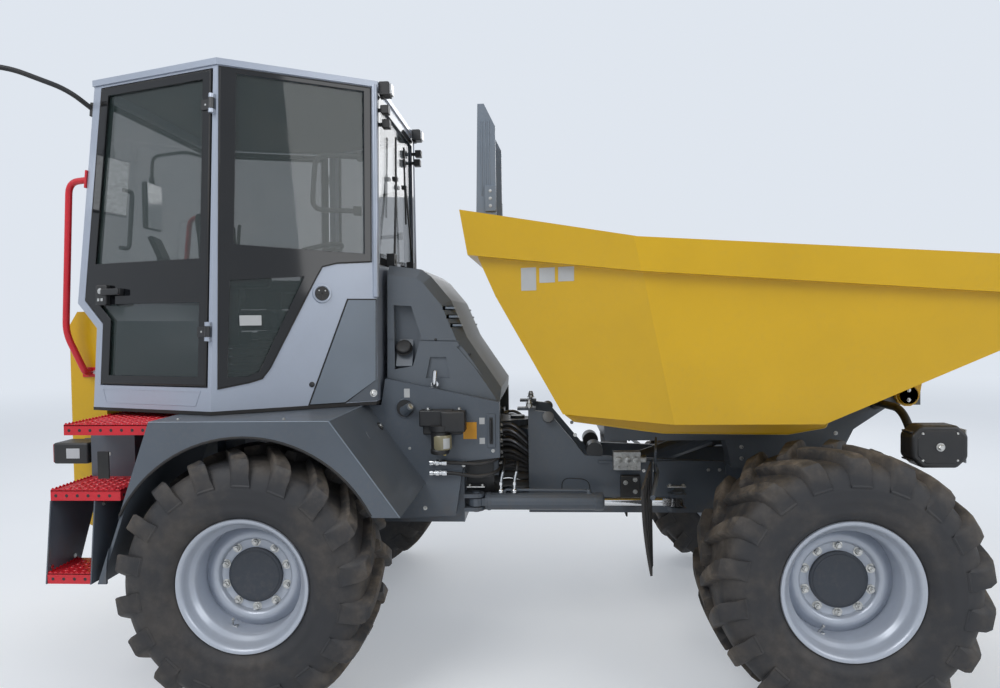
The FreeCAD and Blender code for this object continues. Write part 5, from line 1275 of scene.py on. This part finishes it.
# mud flaps: thin rubber turned to the wheel, with a slanting lower edge, on a bracket
shape = Shape()
grid = []
for i in range(13):
    v = i / 12
    row = []
    for j in range(9):
        u = j / 8
        y = -0.560 - 0.620 * u
        low = 0.430 + 0.210 * u
        z = 1.010 + (low - 1.010) * v
        x = -0.733 - 0.126 * u + 0.037 * u * v * v
        row.append(front(x, y, z))
    grid.append(row)
for i in range(12):
    for j in range(8):
        corners = (grid[i][j], grid[i][j + 1], grid[i + 1][j + 1], grid[i + 1][j])
        shape.bm.faces.new([shape.bm.verts.new(c) for c in corners])
bmesh.ops.remove_doubles(shape.bm, verts=shape.bm.verts, dist=1e-5)
bmesh.ops.solidify(shape.bm, geom=shape.bm.faces[:], thickness=0.010)
for j in range(1, 8, 2):
    top, low = grid[0][j], grid[11][j]
    shape.pipe([top, grid[4][j], grid[8][j], low], 0.05, 0.004, 6)
piece = shape.place("mud_flap_sheets", RUBBER, "front_frame", "flap_rubber", both=True)
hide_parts("mud_flaps")
shape = Shape()
shape.pipe([front(-0.680, -0.245, 0.950), front(-0.706, -0.560, 0.950), front(-0.806, -1.080, 0.950)], 0.05, 0.012, 14)
shape.pipe([front(-0.720, -0.560, 0.930), front(-0.720, -0.600, 1.080), front(-0.700, -0.480, 1.120)], 0.02, 0.006, 10)
shape.place("mud_flap_brackets", CHASSIS, "front_frame", "chassis_paint", bevel=0.003, both=True)
shape = Shape()
for y in (-0.640, -0.800, -0.960, -1.080):
    shape.bolt(front(-0.743 - (abs(y) - 0.560) * 0.203, y, 0.950), (-1, 0, 0), 0.013)
shape.place("mud_flap_bolts", STEEL, "front_frame", "bright_rod", both=True)


# Skip and its guard

SKIP_MIDDLE = front(0, 0, 1.9)
LOW_CREASE = front(-0.706, -1.062, 1.268)
RIM_CREASE = front(-0.881, -1.150, 2.080)
RIM_REAR = front(-1.625, -0.850, 2.247)
SKIP_BACK = Wall(LOW_CREASE, RIM_CREASE, RIM_REAR)
WHEELS_APART = FRONT.x - REAR.x


def on_skip(x, z, out=0.0):
    """A point on the skip's rear side facet, from the front axle."""
    return SKIP_BACK.at(x + WHEELS_APART, z, out)


shape = Shape()
for x0, x1, z0, z1 in ((-1.375, -1.305, 1.872, 1.976), (-1.290, -1.220, 1.905, 1.972), (-1.205, -1.135, 1.908, 1.972)):
    shape.prism([on_skip(x, z, 0.0004) for x, z in ((x0, z0), (x1, z0), (x1, z1), (x0, z1))], SKIP_BACK.normal * 0.0007)
shape.place("skip_blank_labels", LABEL_WHITE, "skip", "cab_paint", both=True)
# skirts under the belly, inboard of the wheels and outboard of the support
shape = Shape()
skirt = [front(x, -0.700, z) for x, z in ((-1.180, 1.270), (-1.130, 1.232), (-0.700, 1.172), (-0.100, 1.164), (0.080, 1.196),
                                          (0.165, 1.366), (-0.065, 1.270))]
shape.prism(skirt, (0, 0.190, 0))
shape.place("belly_skirts", YELLOW, "skip", "yellow_paint", bevel=0.010, segments=3, both=True)
# welded stiffeners, pivot pins and their keepers
shape = Shape()
for side in (-1, 1):
    for y in (0.436, 0.284):
        shape.lathe([(0, 0.052), (0.008, 0.052), (0.012, 0.046)], front(0.577, side * 0.450, 1.330), (0, side, 0), 36)
for y in (-0.620, -0.200, 0.200, 0.620):
    shape.prism([front(x, y - 0.012, z) for x, z in ((0.020, 1.290), (0.900, 1.686), (0.900, 1.640), (0.060, 1.262))], (0, 0.024, 0))
shape.place("skip_ribs", YELLOW, "skip", "yellow_paint", bevel=0.003)
shape = Shape()
for z in (1.305, 1.355):
    shape.bolt(front(0.577, -0.462, z), OUT, 0.013)
shape.place("skip_pin_bolts", STEEL, "skip", "bright_rod", both=True)
shape = Shape()
for x, z in ((-0.250, 1.000), (-0.250, 1.060), (0.230, 1.130), (0.230, 1.080), (0.150, 1.020), (0.520, 1.360), (0.640, 1.360),
             (-0.600, 1.150), (-0.700, 1.150), (-0.350, 1.150)):
    shape.bolt(front(x, -0.4205, z), OUT, 0.014)
shape.place("support_bolts", STEEL, "front_frame", "bright_rod", both=True)

shape = Shape()
for y in (-0.150, 0.0, 0.150):
    shape.box(front(-1.621, y - 0.008, 2.384), front(-1.613, y + 0.008, 2.905))
for y in (-0.304, 0.296):
    for x in (-1.600, -1.580, -1.560):
        shape.box(front(x - 0.004, y, 2.420), front(x + 0.004, y + 0.008, 2.820))
shape.place("guard_ribs", TRIM, "skip", "hood_paint", bevel=0.002)
shape = Shape()
for side in (-1, 1):
    shape.box(front(-1.585, side * 0.306 - 0.006, 2.330), front(-1.523, side * 0.306 + 0.006, 2.470))
shape.place("guard_brackets", TRIM, "skip", "hood_paint", bevel=0.003)
shape = Shape()
for side in (-1, 1):
    for z in (2.360, 2.400, 2.440):
        shape.bolt(front(-1.555, side * 0.312, z), (0, side, 0), 0.011)
shape.place("guard_bolts", STEEL, "skip", "bright_rod")


# Seat, console and steering wheel

def swivel(x, y, z):
    """A point given by its distance ahead of the seat's swivel, its y, and its height over the floor."""
    return rear(-0.230 + x, y, 1.369 + z)


shape = Shape()
shape.lathe([(0.0004, 0.188), (0.020, 0.188), (0.030, 0.176), (0.058, 0.170)], swivel(0, 0, 0), UP, 64)
shape.box(swivel(-0.328, -0.228, 0.058), swivel(0.298, 0.228, 0.088))
for i in range(5):
    inset = 0.0 if i % 2 else 0.012
    shape.box(swivel(-0.298 + inset, -0.188 + inset, 0.092 + i * 0.046), swivel(0.018 - inset, 0.188 - inset, 0.130 + i * 0.046))
for side in (-1, 1):
    low, high = sorted((side * 0.150, side * 0.338))
    shape.box(swivel(-0.218, low, 0.252), swivel(-0.122, high, 0.323))
    low, high = sorted((side * 0.302, side * 0.338))
    shape.box(swivel(-0.218, low, 0.252), swivel(-0.122, high, 0.600))
    shape.pipe([swivel(0.010, side * 0.335, 0.630), swivel(0.014, side * 0.335, 0.700)], 0.01, 0.010, 14)
    shape.lathe([(0, 0.014), (0.014, 0.021), (0.040, 0.023), (0.058, 0.016), (0.064, 0.006)], swivel(0.014, side * 0.335, 0.690), UP, 24)
console = shape.place("console_frame", BLACK, "seat_console", "black_plastic", bevel=0.006, segments=3)
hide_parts("console")
shape = Shape()
for side in (-1, 1):
    low, high = sorted((side * 0.292, side * 0.378))
    shape.box(swivel(-0.258, low, 0.562), swivel(0.058, high, 0.638))
shape.place("console_arm_pads", BLACK, "seat_console", "black_plastic", bevel=0.024, segments=5)
shape = Shape()
shape.box(swivel(0.182, -0.158, 0.090), swivel(0.288, 0.158, 0.618))
shape.place("console_column", GREY_MOULDING, "seat_console", "black_plastic", bevel=0.028, segments=5)
shape = Shape()
shape.pad(swivel(0.1815, 0, 0.520), (0, -1, 0), UP, 0.200, 0.110, 0.004)
shape.place("column_display", SCREEN, "seat_console", "tinted_glass", bevel=0.003)
shape = Shape()
top, way = swivel(0.190, 0, 0.780), Vector((-0.28, 0, 0.96)).normalized()
shape.rod(swivel(0.237, 0, 0.6205), top, 0.026, sides=24)
shape.ring(top, way, 0.180, 0.0138, 72, 14)
shape.lathe([(-0.030, 0.030), (-0.010, 0.052), (0.004, 0.052), (0.012, 0.044), (0.014, 0.020)], top, way, 36)
across = Vector((0, 1, 0))
ahead = across.cross(way)
for angle in (90, 210, 330):
    turn = math.radians(angle)
    spoke = ahead * math.sin(turn) + across * math.cos(turn)
    shape.pipe([top + spoke * 0.030 - way * 0.006, top + spoke * 0.110 - way * 0.010, top + spoke * 0.176], 0.03, 0.0105, 12)
wheel = shape.place("steering_wheel.smooth", BLACK, "seat_console", "black_plastic", angle=40)
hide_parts("steering_wheel")


def stuffed(name, low, high, lean, seams, voxel=0.0075, cap=0.024):
    """A stuffed pad: a box with rounded ends, leaning back by lean at its top, blown up as cloth, each point kept
    within cap of where it was, and pressed in along its seams. A seam is a plane's point and normal, and a depth."""
    form = Shape()
    form.box(low, high)
    bmesh.ops.bevel(form.bm, geom=form.bm.edges[:], offset=0.024, segments=3, profile=0.6, affect="EDGES")
    for v in form.bm.verts:
        v.co.x += lean * (v.co.z - low[2]) / (high[2] - low[2])
    mesh = bpy.data.meshes.new(name)
    form.bm.to_mesh(mesh)
    form.bm.free()
    scene = bpy.context.scene
    piece = bpy.data.objects.new(name + ".form", mesh)
    scene.collection.objects.link(piece)
    remesh = piece.modifiers.new("remesh", "REMESH")
    remesh.mode = "VOXEL"
    remesh.voxel_size = voxel
    mesh = bpy.data.meshes.new_from_object(piece.evaluated_get(bpy.context.evaluated_depsgraph_get()))
    mesh.name = name
    bpy.data.objects.remove(piece)
    piece = bpy.data.objects.new(name + ".cloth", mesh)
    scene.collection.objects.link(piece)
    cloth = piece.modifiers.new("cloth", "CLOTH")
    cloth.settings.quality = 5
    cloth.settings.use_pressure = True
    cloth.settings.uniform_pressure_force = 4.0
    cloth.settings.effector_weights.gravity = 0.0
    cloth.point_cache.frame_start = 1
    cloth.point_cache.frame_end = 20
    for step in range(1, 21):
        scene.frame_set(step)
    blown = bpy.data.meshes.new_from_object(piece.evaluated_get(bpy.context.evaluated_depsgraph_get()))
    for v, moved in zip(mesh.vertices, blown.vertices):
        shift = moved.co - v.co
        v.co += shift * min(1.0, cap / max(shift.length, 1e-6))
    bpy.data.objects.remove(piece)
    scene.frame_set(1)
    mesh.update()
    normals = [v.normal.copy() for v in mesh.vertices]
    for v, normal in zip(mesh.vertices, normals):
        for point, way, depth in seams:
            off = (v.co - point).dot(Vector(way).normalized())
            v.co -= normal * depth * math.exp(-(off / 0.009) ** 2)
    piece = dress(mesh, name, SEAT_CLOTH, "seat_console", angle=180.0)
    smooth = piece.modifiers.new("smooth", "SUBSURF")
    smooth.levels = smooth.render_levels = 1
    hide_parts("seat")
    return piece


stuffed("seat_cushion", swivel(-0.352, -0.212, 0.352), swivel(0.062, 0.212, 0.424), 0.0,
        [(swivel(0, y, 0), (0, 1, 0), 0.006) for y in (-0.150, 0.150)]
        + [(swivel(x, 0, 0), (1, 0, 0), 0.005) for x in (-0.230, -0.110, 0.0)])
stuffed("seat_back", swivel(-0.352, -0.205, 0.462), swivel(-0.290, 0.205, 1.020), -0.085,
        [(swivel(0, y, 0), (0, 1, 0), 0.006) for y in (-0.140, 0.140)]
        + [(swivel(0, 0, z), (0, 0, 1), 0.005) for z in (0.600, 0.740, 0.880)])
shape = Shape()
shape.prism([swivel(x, -0.150, z) for x, z in ((-0.415, 0.480), (-0.385, 0.480), (-0.440, 1.000), (-0.449, 1.000))], (0, 0.300, 0))
shape.place("seat_back_shell", BLACK, "seat_console", "black_plastic", bevel=0.008, segments=3)
shape = Shape()
mat = [rear(x, y, 1.3692) for x, y in ((-0.870, -0.640), (-0.220, -0.900), (0.400, -0.560), (0.400, 0.560), (-0.220, 0.900),
                                       (-0.870, 0.640))]
hole = [swivel(0.205 * math.cos(t), 0.205 * math.sin(t), 0.0002) for t in (2 * math.pi * i / 48 for i in range(48))]
shape.plate([mat, hole], (0, 0, 0.006))
shape.place("floor_mat", RUBBER, "rear_frame", "flap_rubber", bevel=0.001)
# display and its arm behind the seat
shape = Shape()
shape.pipe([rear(-0.940, -0.440, 1.900), rear(-0.860, -0.450, 1.960), rear(-0.745, -0.450, 2.060), rear(-0.730, -0.450, 2.130)],
           0.05, 0.011, 14)
shape.pad(rear(-0.722, -0.450, 2.150), (0.25, -1, 0), (-0.45, 0, 1), 0.190, 0.130, 0.026)
shape.pad(rear(-0.975, -0.440, 1.880), (0, -1, 0), (-0.1, 0, 1), 0.070, 0.090, -0.060)
shape.place("rear_display", BLACK, "rear_frame", "black_plastic", bevel=0.007, segments=3)


# Floor and light

def shown_ray(tree):
    """1 where the camera, a reflection or a view through glass sees the surface."""
    path = tree.nodes.new("ShaderNodeLightPath")
    total = path.outputs["Is Camera Ray"]
    for other in ("Is Glossy Ray", "Is Transmission Ray"):
        join = tree.nodes.new("ShaderNodeMath")
        join.operation = "MAXIMUM"
        tree.links.new(total, join.inputs[0])
        tree.links.new(path.outputs[other], join.inputs[1])
        total = join.outputs["Value"]
    return total


world = bpy.data.worlds.new("studio")
bpy.context.scene.world = world
world.use_nodes = True
tree = world.node_tree
lit = tree.nodes["Background"]
lit.inputs["Color"].default_value = (0.80, 0.88, 1.0, 1)
lit.inputs["Strength"].default_value = 0.42
seen = tree.nodes.new("ShaderNodeBackground")
seen.inputs["Color"].default_value = (0.74, 0.79, 0.86, 1)
seen.inputs["Strength"].default_value = 1.0
blend = tree.nodes.new("ShaderNodeMixShader")
tree.links.new(shown_ray(tree), blend.inputs[0])
tree.links.new(lit.outputs["Background"], blend.inputs[1])
tree.links.new(seen.outputs["Background"], blend.inputs[2])
tree.links.new(blend.outputs[0], tree.nodes["World Output"].inputs["Surface"])

floor_shape = bmesh.new()
bmesh.ops.create_grid(floor_shape, x_segments=1, y_segments=1, size=60.0)
floor_mesh = bpy.data.meshes.new("floor")
floor_shape.to_mesh(floor_mesh)
floor_shape.free()
floor = bpy.data.objects.new("floor", floor_mesh)
bpy.context.scene.collection.objects.link(floor)
floor.location.z = -0.001
concrete = Finish("pale_floor", 0.85)
concrete.colour(concrete.mix(concrete.noise(0.8, 8.0), (0.72, 0.72, 0.72), (0.78, 0.78, 0.77)))
glow = concrete.add("ShaderNodeEmission")
glow.inputs["Color"].default_value = (0.74, 0.79, 0.86, 1)
concrete.link(concrete.math("MULTIPLY", shown_ray(concrete.tree), 0.36), glow.inputs["Strength"])
total = concrete.add("ShaderNodeAddShader")
concrete.link(concrete.shader.outputs["BSDF"], total.inputs[0])
concrete.link(glow.outputs["Emission"], total.inputs[1])
far_off = concrete.add("ShaderNodeVectorMath", operation="LENGTH")
concrete.link(concrete.place, far_off.inputs[0])
fade = concrete.math("MULTIPLY", concrete.remap(far_off.outputs["Value"], 6.0, 22.0), shown_ray(concrete.tree))
backdrop = concrete.add("ShaderNodeEmission")
backdrop.inputs["Color"].default_value = (0.74, 0.79, 0.86, 1)
blend_out = concrete.add("ShaderNodeMixShader")
concrete.link(fade, blend_out.inputs[0])
concrete.link(total.outputs[0], blend_out.inputs[1])
concrete.link(backdrop.outputs[0], blend_out.inputs[2])
concrete.link(blend_out.outputs[0], concrete.tree.nodes["Material Output"].inputs["Surface"])
floor_mesh.materials.append(concrete.material)

# place, size and power of each soft lamp
for name, place, size, power in (("key", (-4.5, -6.5, 7.5), 5.0, 360), ("fill", (6.5, -5.0, 5.0), 5.0, 170),
                                 ("back", (1.0, 7.5, 6.5), 6.0, 220)):
    lamp_data = bpy.data.lights.new(name, "AREA")
    lamp_data.size = size
    lamp_data.energy = power
    lamp = bpy.data.objects.new(name, lamp_data)
    bpy.context.scene.collection.objects.link(lamp)
    lamp.location = place
    lamp.rotation_euler = (Vector((0, 0, 1.2)) - Vector(place)).to_track_quat("-Z", "Y").to_euler()

bpy.context.scene.view_settings.view_transform = "Standard"
